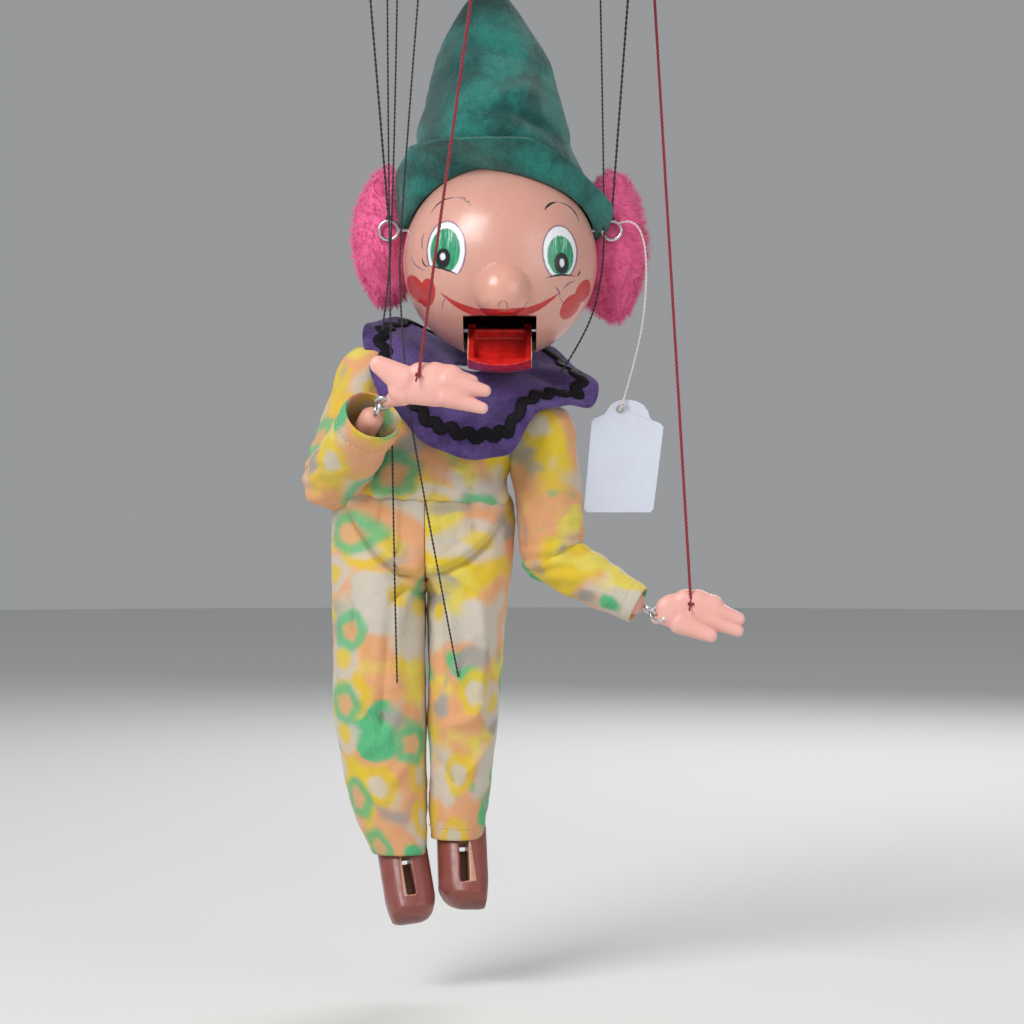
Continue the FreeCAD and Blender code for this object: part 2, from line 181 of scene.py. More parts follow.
def frames_along(points):
    """A side and an up vector at each point of a line, with no twist."""
    out = []
    side = None
    for i, p in enumerate(points):
        way = (points[min(i + 1, len(points) - 1)] - points[max(i - 1, 0)]).normalized()
        if side is None:
            side = way.orthogonal().normalized()
        side = (side - way * side.dot(way)).normalized()
        out.append((side, way.cross(side)))
    return out


def tube(points, radius, sides=8, start=0):
    """Points and faces of a round tube with closed ends. The radius may be a list."""
    verts = []
    for i, (p, (side, up)) in enumerate(zip(points, frames_along(points))):
        r = radius[i] if isinstance(radius, (list, tuple)) else radius
        for a in circle(sides):
            verts.append(p + side * (r * math.cos(a)) + up * (r * math.sin(a)))
    faces = ring_faces(len(points), sides, True, start)
    faces.append(tuple(start + j for j in reversed(range(sides))))
    last = start + (len(points) - 1) * sides
    faces.append(tuple(last + j for j in range(sides)))
    return verts, faces


def tubes(name, lines, radius, sides=8):
    """One object of several tubes."""
    points, faces = [], []
    for line in lines:
        p, f = tube(line, radius, sides, len(points))
        points += p
        faces += f
    return new_object(name, points, faces)


def route(points):
    """The points of the smooth NURBS line with these control points."""
    if len(points) == 2:
        points = [points[0], (points[0] + points[1]) / 2, points[1]]
    data = bpy.data.curves.new("route", "CURVE")
    data.dimensions = "3D"
    spline = data.splines.new("NURBS")
    spline.points.add(len(points) - 1)
    for point, place in zip(spline.points, points):
        point.co = (*place, 1)
    spline.order_u = 3
    spline.use_endpoint_u = True
    spline.resolution_u = 24
    guide = bpy.data.objects.new("route", data)
    mesh = bpy.data.meshes.new_from_object(guide)
    out = [v.co.copy() for v in mesh.vertices]
    bpy.data.objects.remove(guide)
    return out


def length_of(points):
    return sum((b - a).length for a, b in zip(points, points[1:]))


def resampled(points, step):
    """Points at even steps along a line."""
    total = length_of(points)
    count = max(2, round(total / step))
    out = [points[0].copy()]
    done = 0.0
    k = 1
    for a, b in zip(points, points[1:]):
        run = (b - a).length
        while k < count and total * k / count <= done + run:
            out.append(a.lerp(b, (total * k / count - done) / run))
            k += 1
        done += run
    return out + [points[-1].copy()]


# A twisted strand's points in one turn, and how much it swells to press on its neighbours.
STEPS_PER_TURN = 8
STRAND_SWELL = 1.12


def strands(line, diameter, plies, pitch):
    """The lines of a twisted string's strands, and the strand's radius."""
    r = diameter / 2
    strand_r = r / (1 + 1 / math.sin(math.pi / plies)) if plies > 2 else r / 2
    line = resampled(line, pitch / STEPS_PER_TURN)
    frames = frames_along(line)
    out = []
    for turn in circle(plies):
        strand = []
        for i, (p, (side, up)) in enumerate(zip(line, frames)):
            a = turn + i * 2 * math.pi / STEPS_PER_TURN
            strand.append(p + (side * math.cos(a) + up * math.sin(a)) * (r - strand_r))
        out.append(strand)
    return out, strand_r * STRAND_SWELL


# ---- materials ----
class Paint:
    """A procedural material, built from small steps on its node tree."""

    def __init__(self, name, colour=(0.8, 0.8, 0.8), roughness=0.5, **sockets):
        self.material = bpy.data.materials.new(name)
        self.material.use_nodes = True
        self.tree = self.material.node_tree
        self.shader = self.tree.nodes["Principled BSDF"]
        self.shader.inputs["Base Color"].default_value = (*colour, 1)
        self.shader.inputs["Roughness"].default_value = roughness
        for key, value in sockets.items():
            self.shader.inputs[key.replace("_", " ")].default_value = value
        self.place = self.node("ShaderNodeTexCoord").outputs["Object"]

    def node(self, kind, inputs=(), **settings):
        made = self.tree.nodes.new(kind)
        for key, value in settings.items():
            setattr(made, key, value)
        for key, value in (inputs.items() if isinstance(inputs, dict) else enumerate(inputs)):
            self.put(made.inputs[key], value)
        return made

    def put(self, socket, value):
        if isinstance(value, bpy.types.NodeSocket):
            self.tree.links.new(value, socket)
        elif value is not None:
            if socket.type == "RGBA" and len(value) == 3:
                value = (*value, 1)
            socket.default_value = value

    def math(self, operation, *values):
        return self.node("ShaderNodeMath", values, operation=operation).outputs[0]

    def times(self, a, b):
        return self.math("MULTIPLY", a, b)

    def vector(self, operation, *values):
        made = self.node("ShaderNodeVectorMath", values, operation=operation)
        return made.outputs["Value" if operation in ("LENGTH", "DOT_PRODUCT") else "Vector"]

    def xyz(self, vector):
        made = self.node("ShaderNodeSeparateXYZ", (vector,))
        return made.outputs[0], made.outputs[1], made.outputs[2]

    def scaled(self, vector, x, y=None, z=None):
        return self.vector("MULTIPLY", vector, (x, x if y is None else y, x if z is None else z))

    def noise(self, scale, detail=2.0, where=None, rough=0.5, distortion=0.0):
        made = self.node("ShaderNodeTexNoise", {
            "Vector": where or self.place, "Scale": scale, "Detail": detail,
            "Roughness": rough, "Distortion": distortion})
        return made.outputs["Fac"]

    def noise_vector(self, scale, where=None):
        made = self.node("ShaderNodeTexNoise", {"Vector": where or self.place, "Scale": scale})
        return self.vector("SUBTRACT", made.outputs["Color"], (0.5, 0.5, 0.5))

    def spread(self, value, low, high, to_low=0.0, to_high=1.0):
        """A smooth step of the value from low to high. Either may be the larger."""
        made = self.node("ShaderNodeMapRange", (value, low, high, to_low, to_high),
                         interpolation_type="SMOOTHSTEP")
        return made.outputs[0]

    def mapped(self, place, location, rotation, scale=(1, 1, 1)):
        """A place in axes that are moved, turned and stretched."""
        made = self.node("ShaderNodeMapping", vector_type="TEXTURE")
        self.put(made.inputs["Vector"], place)
        for key, value in (("Location", location), ("Rotation", rotation), ("Scale", scale)):
            made.inputs[key].default_value = value
        return made.outputs[0]

    def mix(self, factor, a, b, blend="MIX"):
        made = self.node("ShaderNodeMix", data_type="RGBA", blend_type=blend)
        self.put(made.inputs[0], factor)
        self.put(made.inputs[6], a)
        self.put(made.inputs[7], b)
        return made.outputs[2]

    def layered(self, base, *layers):
        """Colours painted one over the other, each with its mask."""
        for mask, colour in layers:
            base = self.mix(mask, base, colour)
        return base

    def colour(self, value):
        self.put(self.shader.inputs["Base Color"], value)
        return self

    def rough(self, value):
        self.put(self.shader.inputs["Roughness"], value)
        return self

    def bump(self, height, distance, strength=1.0):
        before = self.shader.inputs["Normal"].links
        made = self.node("ShaderNodeBump", {"Height": height, "Distance": distance, "Strength": strength})
        if before:
            self.put(made.inputs["Normal"], before[0].from_socket)
        self.put(self.shader.inputs["Normal"], made.outputs[0])
        return self


def finish_piece(piece, paint, body=None, stands_for=()):
    """Gives a piece its material and its body, and hides the CAD nodes that it stands for."""
    piece.data.materials.clear()
    piece.data.materials.append(paint.material)
    if stands_for:
        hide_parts(*stands_for)
    if body:
        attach(piece, body)
    return piece


def repaint(paint, *nodes):
    """A carried-over CAD node gets a better material."""
    for name in nodes:
        node = frame["nodes"][name]
        node.data.materials.clear()
        node.data.materials.append(paint.material)


def wood_paint(name, light, dark, along, roughness=0.55):
    """Bare wood: long grain along one axis (0, 1 or 2), pores and a little wear."""
    paint = Paint(name, light, roughness)
    squeeze = [520.0, 520.0, 520.0]
    squeeze[along] = 26.0
    grain_place = paint.vector("ADD", paint.scaled(paint.place, *squeeze),
                               paint.scaled(paint.noise_vector(22.0), 3.0))
    grain = paint.noise(1.0, 4.0, grain_place, 0.6)
    broad = paint.noise(34.0, 2.0)
    colour = paint.mix(paint.spread(grain, 0.35, 0.7), light, dark)
    colour = paint.mix(paint.spread(broad, 0.4, 0.75, 0, 0.35), colour, [c * 0.62 for c in dark])
    paint.colour(colour).rough(paint.spread(grain, 0.3, 0.7, roughness - 0.1, roughness + 0.12))
    return paint.bump(grain, 0.00012, 0.5)


def string_paint(name, colour, dark):
    paint = Paint(name, colour, 0.75, Sheen_Weight=0.25)
    fibre = paint.noise(4200.0, 3.0)
    return paint.colour(paint.mix(paint.spread(fibre, 0.3, 0.75), dark, colour)).bump(fibre, 0.00006, 0.6)


def shorten(piece):
    """Gives the string its own copy of its mesh."""
    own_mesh(piece)


def string(name, points, diameter, paint, slot, far_end="object", plies=2, follows=None, **facts):
    line = route(points)
    lines, r = strands(line, diameter, plies, diameter * 4.2)
    piece = tubes(name.replace("string", "cord").replace("thread", "cord"), lines, r, 6)
    finish_piece(piece, paint, facts.pop("body", "sling"), (name,))
    facts.pop("lay", "taut")
    if follows:
        shorten(piece)
    return piece


def knot(name, place, size, paint, body, seed=1):
    """A small overhand knot: a trefoil line with two cut ends."""
    rng = random.Random(seed)
    spin = Matrix.Rotation(rng.uniform(0, 6.28), 3, "Z") @ Matrix.Rotation(rng.uniform(0, 1.2), 3, "X")
    line = []
    for i in range(61):
        a = 2 * math.pi * i / 60
        p = Vector((math.sin(a) + 2 * math.sin(2 * a), math.cos(a) - 2 * math.cos(2 * a), -math.sin(3 * a)))
        line.append(place + spin @ p * (size / 3.4))
    tail = [place] + [place + spin @ Vector(end) * size for end in ((0.3, 0.6, -1.6), (0.2, 1.3, -3.0))]
    piece = tubes(name, [line, tail], size * 0.36, 8)
    return finish_piece(piece, paint, body)


def strings():
    black = string_paint("black_string", (0.035, 0.035, 0.045), (0.008, 0.008, 0.01))
    red = string_paint("red_string", (0.42, 0.02, 0.045), (0.16, 0.005, 0.015))
    ring_top = EAR + mm(0, 0, 3.7 + 0.7)
    for side, s in SIGN.items():
        ring = HEAD + Vector((s * ring_top.x, ring_top.y, ring_top.z))
        string("head_string_" + side, [mm(s * 51.5, HEAD_BAR_Y, BAR_LOW), ring], 1.0 * MM,
               black, "black_string")
        knot("head_knot_" + side, ring + mm(0, 0, 0.4), 1.1 * MM, black, "sling", 3 + s)
    string("shoulder_string_r", [
        mm(-39.6, HEAD_BAR_Y, BAR_LOW), mm(-41.2, -0.4, -112), mm(-44.0, 0.5, -150),
        SHOULDER["r"] + mm(3, 1, 5.5)], 0.8 * MM, black, "black_string")
    string("shoulder_string_l", [
        mm(39.4, HEAD_BAR_Y, BAR_LOW), mm(41.2, -0.4, -110), mm(40.6, 0.5, -138), mm(33.0, 1, -163),
        SHOULDER["l"] + mm(-3, 1, 6)], 0.8 * MM, black, "black_string")
    string("hand_string_r", [mm(-5, -62, -6.05), HAND_HOLE["r"]], 1.2 * MM, red, "red_string",
           plies=3, follows="shoulder_r")
    string("hand_string_l", [mm(60, HEAD_BAR_Y, BAR_LOW), HAND_HOLE["l"]], 1.2 * MM, red, "red_string",
           plies=3, follows="shoulder_l")
    for side in SIDES:
        knot("hand_knot_" + side, HAND_HOLE[side] + mm(0, -0.6, 0.2), 1.1 * MM,
             red, "hand_" + side, 9)
    string("knee_string_r", [
        mm(-42.4, LEG_BAR_Y, BAR_LOW), mm(-41.6, -22, -185), mm(-38.8, -20.5, -294.4)],
        0.8 * MM, black, "black_string", follows="hip_r")
    string("knee_string_l", [
        mm(-29.0, LEG_BAR_Y, BAR_LOW), mm(-38.4, -10, -120), mm(-37.8, -17, -150), mm(-34.5, -31, -184),
        mm(-31.5, -31, -206), mm(-15.5, -19.5, -291.8)], 0.8 * MM, black, "black_string", follows="hip_l")


# ---- head ----
def skin_layers(paint, base):
    """Slow colour changes, pores and faint scuffs of old satin paint."""
    broad = paint.noise(38.0, 3.0)
    fine = paint.noise(900.0, 4.0)
    scuffs = paint.noise(150.0, 6.0, rough=0.75)
    colour = paint.layered(
        base,
        (paint.spread(broad, 0.35, 0.75, 0, 0.5), [base[0] * 0.96, base[1] * 0.82, base[2] * 0.8]),
        (paint.spread(scuffs, 0.62, 0.8, 0, 0.35), [base[0], base[1] * 1.1, base[2] * 1.12]))
    paint.rough(paint.spread(scuffs, 0.35, 0.75, 0.26, 0.42))
    paint.bump(paint.noise(120.0, 3.0), 0.0003, 0.35)
    paint.bump(fine, 0.00004, 0.4)
    return colour


SKIN = (0.7, 0.36, 0.29)
# How far the painted face sits below the measures of its shapes, and the scale that takes depth out of them.
FACE_DROP = 2.4 * MM
FLAT = 1000.0


class Face:
    """Shapes painted on the front of the head, in millimetres from its middle, as seen from the front."""

    def __init__(self, paint):
        self.paint = paint
        shake = paint.scaled(paint.noise_vector(700.0), 0.00045)
        self.place = paint.vector("ADD", paint.place, shake)
        self.front = paint.spread(paint.xyz(paint.place)[1], HEAD.y + 0.001, HEAD.y - 0.001)

    def local(self, x, z, half_x, half_z, turn=0.0):
        """The distance from the middle of an oval, 1 on its edge, and the place in the oval's own axes."""
        place = self.paint.mapped(
            self.place, (HEAD.x + x * MM, 0, HEAD.z - FACE_DROP + z * MM),
            (0, -math.radians(turn), 0), (half_x * MM, FLAT, half_z * MM))
        return self.paint.vector("LENGTH", place), place

    def oval(self, x, z, half_x, half_z, turn=0.0, soft=0.06):
        distance, _ = self.local(x, z, half_x, half_z, turn)
        return self.on_front(self.paint.spread(distance, 1 + soft, 1 - soft))

    def on_front(self, mask):
        return self.paint.times(mask, self.front)

    def crescent(self, x, z, r, inner_x, inner_z, inner_r, soft=0.12):
        """Inside the first circle and outside the second: a stroke that tapers at both ends."""
        a, _ = self.local(x, z, r, r)
        b, _ = self.local(inner_x, inner_z, inner_r, inner_r)
        return self.on_front(self.paint.times(
            self.paint.spread(a, 1 + soft / r, 1 - soft / r),
            self.paint.spread(b, 1 - soft / inner_r, 1 + soft / inner_r)))

    def side_of(self, x, z, turn, soft=0.15):
        """1 above a slanting line through a point."""
        _, place = self.local(x, z, 1, 1, turn)
        return self.paint.spread(self.paint.xyz(place)[2], -soft, soft)

    def stroke(self, start, end, bow, width):
        """A thin stroke between two points that bows to its left by bow and is width thick in the middle."""
        middle = ((start[0] + end[0]) / 2, (start[1] + end[1]) / 2)
        run = math.hypot(end[0] - start[0], end[1] - start[1])
        side = (-(end[1] - start[1]) / run, (end[0] - start[0]) / run)
        circles = []
        for sag in (bow + width / 2, bow - width / 2):
            sag = math.copysign(max(abs(sag), 0.05), sag)
            r = (run * run / 4 + sag * sag) / (2 * abs(sag))
            back = math.copysign(r, sag) - sag
            circles.append((middle[0] - side[0] * back, middle[1] - side[1] * back, r, sag))
        masks = []
        for x, z, r, sag in circles:
            distance, _ = self.local(x, z, r, r)
            masks.append(self.paint.spread(distance, 1 + 0.1 / r, 1 - 0.1 / r) if sag > 0
                         else self.paint.spread(distance, 1 - 0.1 / r, 1 + 0.1 / r))
        both = self.paint.times(masks[0], self.paint.math("SUBTRACT", 1.0, masks[1]))
        near, _ = self.local(middle[0], middle[1], run * 0.56, run * 0.56)
        return self.on_front(self.paint.times(both, self.paint.spread(near, 1.05, 0.95)))


def eye_layers(face, x, z, half_x, half_z, lid, iris, pupil, glint, outline):
    """An upright oval eye, cut off below by its lower lid, with its coloured ring, pupil and glint."""
    paint = face.paint
    above = face.side_of(*lid)
    rings = (
        (face.oval(x, z, half_x + 0.55, half_z + 0.55, soft=0.05), outline),
        (face.oval(x, z, half_x, half_z, soft=0.03), (0.86, 0.86, 0.88)),
    )
    distance, place = face.local(*iris)
    streak = paint.noise(1.0, 3.0, paint.scaled(place, 7.5, 0.0, 0.9), 0.7)
    high = paint.spread(paint.xyz(place)[2], -0.3, 0.95)
    green = paint.layered(
        (0.02, 0.24, 0.12),
        (paint.spread(streak, 0.42, 0.6, 0, 0.85), (0.05, 0.42, 0.22)),
        (paint.times(paint.spread(streak, 0.5, 0.66), high), (0.5, 0.75, 0.62)))
    mask = face.on_front(paint.spread(distance, 1.03, 0.94))
    layers = list(rings) + [(mask, green)]
    layers.append((face.oval(*pupil, soft=0.1), (0.008, 0.008, 0.01)))
    layers.append((face.oval(*glint, soft=0.25), (0.8, 0.82, 0.86)))
    return [(paint.times(m, above), c) for m, c in layers]


def head_paint():
    """Skin with painted eyes, brows, cheeks and smile, bare brown slot walls, and painted shade on the
    shell's inside.
    """
    paint = Paint("head_paint", SKIN, 0.34, Coat_Weight=0.35, Coat_Roughness=0.22, Subsurface_Weight=0.05)
    skin = skin_layers(paint, SKIN)
    face = Face(paint)
    black = (0.014, 0.01, 0.012)
    violet = (0.22, 0.1, 0.2)
    red = paint.mix(paint.spread(paint.noise(260.0, 4.0), 0.3, 0.75, 0, 0.6),
                    (0.55, 0.02, 0.02), (0.42, 0.012, 0.014))
    smile = face.crescent(0.1, 6.9, 29.4, 0.1, 19.1, 38.2)
    blush = (paint.spread(face.local(0.8, -11, 15, 15)[0], 1.0, 0.3, 0, 0.3), (0.78, 0.36, 0.26))
    layers = [blush, (smile, red)]
    for x, z, a, b, turn in ((-31.9, -9.6, 6.3, 2.9, -58), (-27.6, -11.4, 5.2, 3.2, 88),
                             (27.0, -16.4, 5.6, 2.9, 52), (31.8, -10.4, 5.0, 2.4, 62)):
        layers.append((face.oval(x, z, a, b, turn, 0.05), red))
    layers += eye_layers(face, -20.2, 3.6, 7.1, 11.0, (-21.5, -3.4, -17.7), (-20.6, 3.7, 5.8, 8.6),
                         (-21.4, 0.8, 2.8, 3.8), (-21.5, 1.4, 1.05, 1.35), violet)
    layers += eye_layers(face, 22.8, 3.2, 6.3, 9.9, (23.2, -5.3, 7.0), (23.0, 2.0, 5.1, 7.6),
                         (23.4, -0.9, 2.8, 4.0), (23.6, -0.8, 0.9, 1.6), violet)
    smudge = face.on_front(paint.spread(paint.noise(900.0, 3.0), 0.45, 0.6))
    for start, end, bow, width, colour in (
        ((-27.4, -1.6), (-15.6, -5.8), 0.55, 0.75, black),
        ((-29.4, 2.0), (-27.0, -2.2), -0.9, 0.55, black),
        ((17.1, -6.9), (29.2, -5.4), 0.8, 0.75, black),
        ((29.2, -5.4), (30.4, -2.6), -0.5, 0.5, black),
        ((-26.4, 18.5), (-16.4, 24.4), 2.0, 0.55, black),
        ((17.0, 19.0), (22.0, 23.0), 0.9, 1.0, black),
        ((21.5, 22.9), (30.0, 14.4), 3.0, 0.5, black),
        ((-28.6, 11.5), (-29.2, 4.0), -0.7, 0.5, violet),
        ((-34.0, 3.5), (-27.4, -3.2), -1.6, 0.4, violet),
        ((-21.6, -18.6), (-19.0, -12.8), 1.2, 0.45, violet),
        ((20.6, -9.6), (22.8, -13.8), 0.8, 0.6, violet),
        ((24.0, -10.6), (29.0, -7.0), 0.6, 0.5, violet),
        ((22.5, -13.6), (24.5, -17.0), 0.5, 0.35, violet),
    ):
        layers.append((face.stroke(start, end, bow, width), colour))
    tail = face.stroke((-16.6, 24.5), (-10.9, 19.8), 1.3, 1.5)
    layers.append((paint.times(tail, smudge), (0.2, 0.17, 0.16)))
    mark = face.on_front(paint.spread(paint.math("ABSOLUTE", paint.math(
        "SUBTRACT", face.local(1.3, -18.0, 1.6, 1.7)[0], 1.0)), 0.3, 0.05))
    layers.append((paint.times(mark, paint.spread(paint.noise(800.0), 0.3, 0.6)), (0.42, 0.16, 0.13)))
    outside = paint.layered(skin, *layers)
    depth = paint.vector("LENGTH", paint.vector("SUBTRACT", paint.place, tuple(HEAD)))
    wall = paint.spread(depth, HEAD_R - 0.0012, HEAD_R - 0.0007)
    # Deeper than the slot's walls, the shell's inside is near black: painted shade in the hollow. The walls
    # keep a bare brown.
    inside = paint.spread(depth, HEAD_R - 0.0042, HEAD_R - 0.0036)
    bare = paint.mix(inside, (0.02, 0.012, 0.012), (0.3, 0.17, 0.12))
    return paint.colour(paint.mix(wall, bare, outside))


def solid_mesh(name, make):
    """An object from a bmesh that make fills."""
    data = bpy.data.meshes.new(name)
    work = bmesh.new()
    make(work)
    work.to_mesh(data)
    work.free()
    data.shade_smooth()
    return linked(name, data)


def settled(piece):
    """The piece's modifiers, applied."""
    bpy.context.view_layer.update()
    graph = bpy.context.evaluated_depsgraph_get()
    data = bpy.data.meshes.new_from_object(piece.evaluated_get(graph))
    piece.modifiers.clear()
    piece.data = data
    return piece


def evened(piece, grain, factor, rounds):
    """The surface remade in even cells of a grain in millimetres, with softened edges."""
    even = piece.modifiers.new("even", "REMESH")
    even.mode = "VOXEL"
    even.voxel_size = grain * MM
    soft = piece.modifiers.new("soft", "SMOOTH")
    soft.factor = factor
    soft.iterations = rounds
    return settled(piece)


def cut_with(piece, *cutters):
    for cutter in cutters:
        step = piece.modifiers.new("cut", "BOOLEAN")
        step.object = cutter
        step.operation = "DIFFERENCE"
        step.solver = "EXACT"
    settled(piece)
    for cutter in cutters:
        bpy.data.objects.remove(cutter)
    return piece


def box_between(name, low, high):
    def fill(work):
        bmesh.ops.create_cube(work, size=1.0, matrix=Matrix.Translation((low + high) / 2)
                              @ Matrix.Diagonal((*(high - low), 1)))
    return solid_mesh(name, fill)


def ball_radius(way):
    """The head's radius along a direction: a ball with a nose that grows smoothly out of it."""
    nose = mm(0.8, -33.6, -14.0)
    nose_r = 10.4 * MM
    along = nose.dot(way)
    across = nose.length_squared - along * along
    reach = 0.0
    if along > 0 and across < nose_r * nose_r:
        reach = along + math.sqrt(nose_r * nose_r - across)
    blend = 5.0 * MM
    h = max(blend - abs(reach - HEAD_R), 0.0) / blend
    r = max(reach, HEAD_R) + h * h * blend / 4
    dimple = (way * r - mm(0.9, -43, -9.4)).length
    r -= 0.5 * MM * math.exp(-(dimple / (1.1 * MM)) ** 2)
    low = (way * r - mm(1.3, -41, -20.4)).length
    r -= 0.4 * MM * math.exp(-(low / (1.2 * MM)) ** 2)
    return r + 0.00012 * noise.noise(way * 3.0)


def head():
    def outer(work):
        bmesh.ops.create_icosphere(work, subdivisions=7, radius=1.0)
        for v in work.verts:
            way = v.co.normalized()
            v.co = HEAD + way * ball_radius(way)

    def inner(work):
        bmesh.ops.create_icosphere(work, subdivisions=5, radius=HEAD_R - 4.5 * MM,
                                   matrix=Matrix.Translation(HEAD))

    piece = solid_mesh("head_ball", outer)
    slot = box_between("slot", HEAD + mm(-14, -55, -55), HEAD + mm(14, 5, -22.9))
    cut_with(piece, solid_mesh("hollow", inner), slot)
    piece.data.shade_smooth()
    piece.data.set_sharp_from_angle(angle=math.radians(40))
    finish_piece(piece, head_paint(), "head", ("head_shell",))


def jaw():
    """A block with a rounded front lip and a tray for the tongue, on its two cheeks."""
    half = 12.3 * MM
    pivot = HEAD + mm(0, -8, -27)
    paint = Paint("jaw_paint", (0.6, 0.02, 0.015), 0.22, Coat_Weight=0.6, Coat_Roughness=0.08)
    x, _, z = paint.xyz(paint.mapped(paint.place, pivot, (JAW_OPEN, 0, 0)))
    streaks = paint.noise(300.0, 4.0)
    red = paint.mix(paint.spread(streaks, 0.35, 0.7, 0, 0.8), (0.72, 0.02, 0.016), (0.5, 0.012, 0.012))
    below = paint.spread(z, -6.2 * MM, -6.9 * MM)
    side = paint.spread(paint.math("ABSOLUTE", paint.math("SUBTRACT", x, 0.0)),
                        half - 0.5 * MM, half - 0.15 * MM)
    worn = paint.times(side, paint.spread(paint.noise(420.0, 4.0), 0.2, 0.35))
    paint.colour(paint.layered(red, (worn, (0.72, 0.5, 0.36)), (below, SKIN)))
    paint.bump(streaks, 0.00015, 0.4)

    node = frame["nodes"]["jaw"]
    piece = evened(linked("jaw_block", node.data.copy()), 0.33, 0.5, 3)
    opened = Matrix.Rotation(JAW_OPEN, 3, "X")
    for vertex in piece.data.vertices:
        q = opened.inverted() @ (vertex.co - pivot)
        forward = clamp((-q.y / MM - 18) / 12)
        corner = min(abs(q.x) / half, 1) ** 3
        q.z += 2.8 * MM * corner * forward * (1 if q.z < -2 * MM else 0.35)
        q.y += 2.4 * MM * corner * forward
        vertex.co = pivot + opened @ q
    piece.data.shade_smooth()
    finish_piece(piece, paint, "jaw", ("jaw",))


# ---- felt, fur and other soft pieces ----
def periodic(knots, at, period=360.0):
    """A smooth closed curve through (place, value) knots, in order of place."""
    places = [k[0] for k in knots]
    values = [k[1] for k in knots]
    count = len(knots)
    at = (at - places[0]) % period + places[0]
    i = max(k for k in range(count) if places[k] <= at)
    span = (places[(i + 1) % count] - places[i]) % period or period
    return spline(*(values[(i + k) % count] for k in (-1, 0, 1, 2)), (at - places[i]) / span)


def through(knots, t):
    """A smooth open curve through knots at even places of t from 0 to 1."""
    count = len(knots) - 1
    x = clamp(t) * count
    i = min(int(x), count - 1)
    p1, p2 = knots[i], knots[i + 1]
    p0 = knots[i - 1] if i else p1 * 2 - p2
    p3 = knots[i + 2] if i + 2 <= count else p2 * 2 - p1
    return spline(p0, p1, p2, p3, x - i)


def thicken(piece, depth, offset=-1.0):
    """Gives a sheet its thickness, with its edges closed."""
    step = piece.modifiers.new("thick", "SOLIDIFY")
    step.thickness = depth
    step.offset = offset
    return settled(piece)


def felt_paint(name, lit, dark, sheen=0.35):
    """Felt: matted fibres, small pills and a soft nap, with painted shade in broad patches and between the
    fibres, and painted highlight on lighter fibres.
    """
    paint = Paint(name, lit, 0.92, Sheen_Weight=sheen, Sheen_Roughness=0.45, Specular_IOR_Level=0.2)
    broad = paint.noise(55.0, 4.0, rough=0.6)
    matted_and_shade = paint.noise(650.0, 5.0, rough=0.7, distortion=1.2)
    hairs_and_highlight = paint.noise(1.0, 3.0, paint.vector("ADD", paint.scaled(paint.place, 2600.0, 2600.0, 700.0),
                                               paint.scaled(paint.noise_vector(300.0), 6.0)))
    # The shaded colour laid in broad patches and matted gaps is painted shade. The brighter copy of the lit
    # colour on single fibres is painted highlight.
    colour = paint.layered(
        lit, (paint.spread(broad, 0.36, 0.62, 0, 0.8), dark),
        (paint.spread(matted_and_shade, 0.45, 0.7, 0, 0.55), dark),
        (paint.spread(hairs_and_highlight, 0.6, 0.8, 0, 0.3), [min(1, c * 1.7 + 0.02) for c in lit]))
    paint.colour(colour)
    paint.bump(matted_and_shade, 0.0011, 0.8)
    return paint.bump(hairs_and_highlight, 0.0005, 0.8)


# The hat's rim: turn in degrees and height over the head's middle. Its band: turn and width.
RIM = [(-180, -8), (-141, -4), (-96, 16.5), (-84, 22.5), (-68, 31), (-36, 36), (0, 34.8), (32, 31.6),
       (62, 26.0), (90, 15.4), (130, 0)]
BAND = [(-180, 12), (-120, 13), (-84, 15), (-50, 12), (-10, 11.5), (25, 11), (55, 9), (82, 6.0), (100, 7),
        (140, 11)]
# Rings of the hat above its band: height over the head's middle, middle in x and y, half width, half depth.
CONE = [(44, -2.0, 3.0, 29.4, 28.5), (52, -2.3, 4.0, 28.4, 27.5), (61, -2.6, 5.0, 27.0, 25.5),
        (70, -3.2, 6.2, 24.6, 23.0), (80, -3.9, 7.5, 20.9, 19.5), (90, -4.6, 8.6, 16.2, 15.5),
        (100, -4.6, 9.4, 10.2, 10.0), (106, -4.2, 9.8, 5.2, 5.2), (108.6, -4.0, 10.0, 1.2, 1.2)]
# Creases of the hat: turn, height, half width in degrees, half height, how far it stands out, and slope.
HAT_CREASES = [(18, 63, 17, 3.6, 3.0, 0.16), (30, 51, 22, 3.0, -2.6, -0.2), (-38, 70, 26, 4.5, -1.8, 0.12),
               (5, 80, 30, 4.0, -1.6, -0.1), (120, 60, 30, 5, -2.2, 0.1), (-130, 72, 28, 5, -2.2, -0.12),
               (-100, 56, 20, 4, -1.5, 0.2), (60, 72, 16, 4, -1.5, 0.25)]


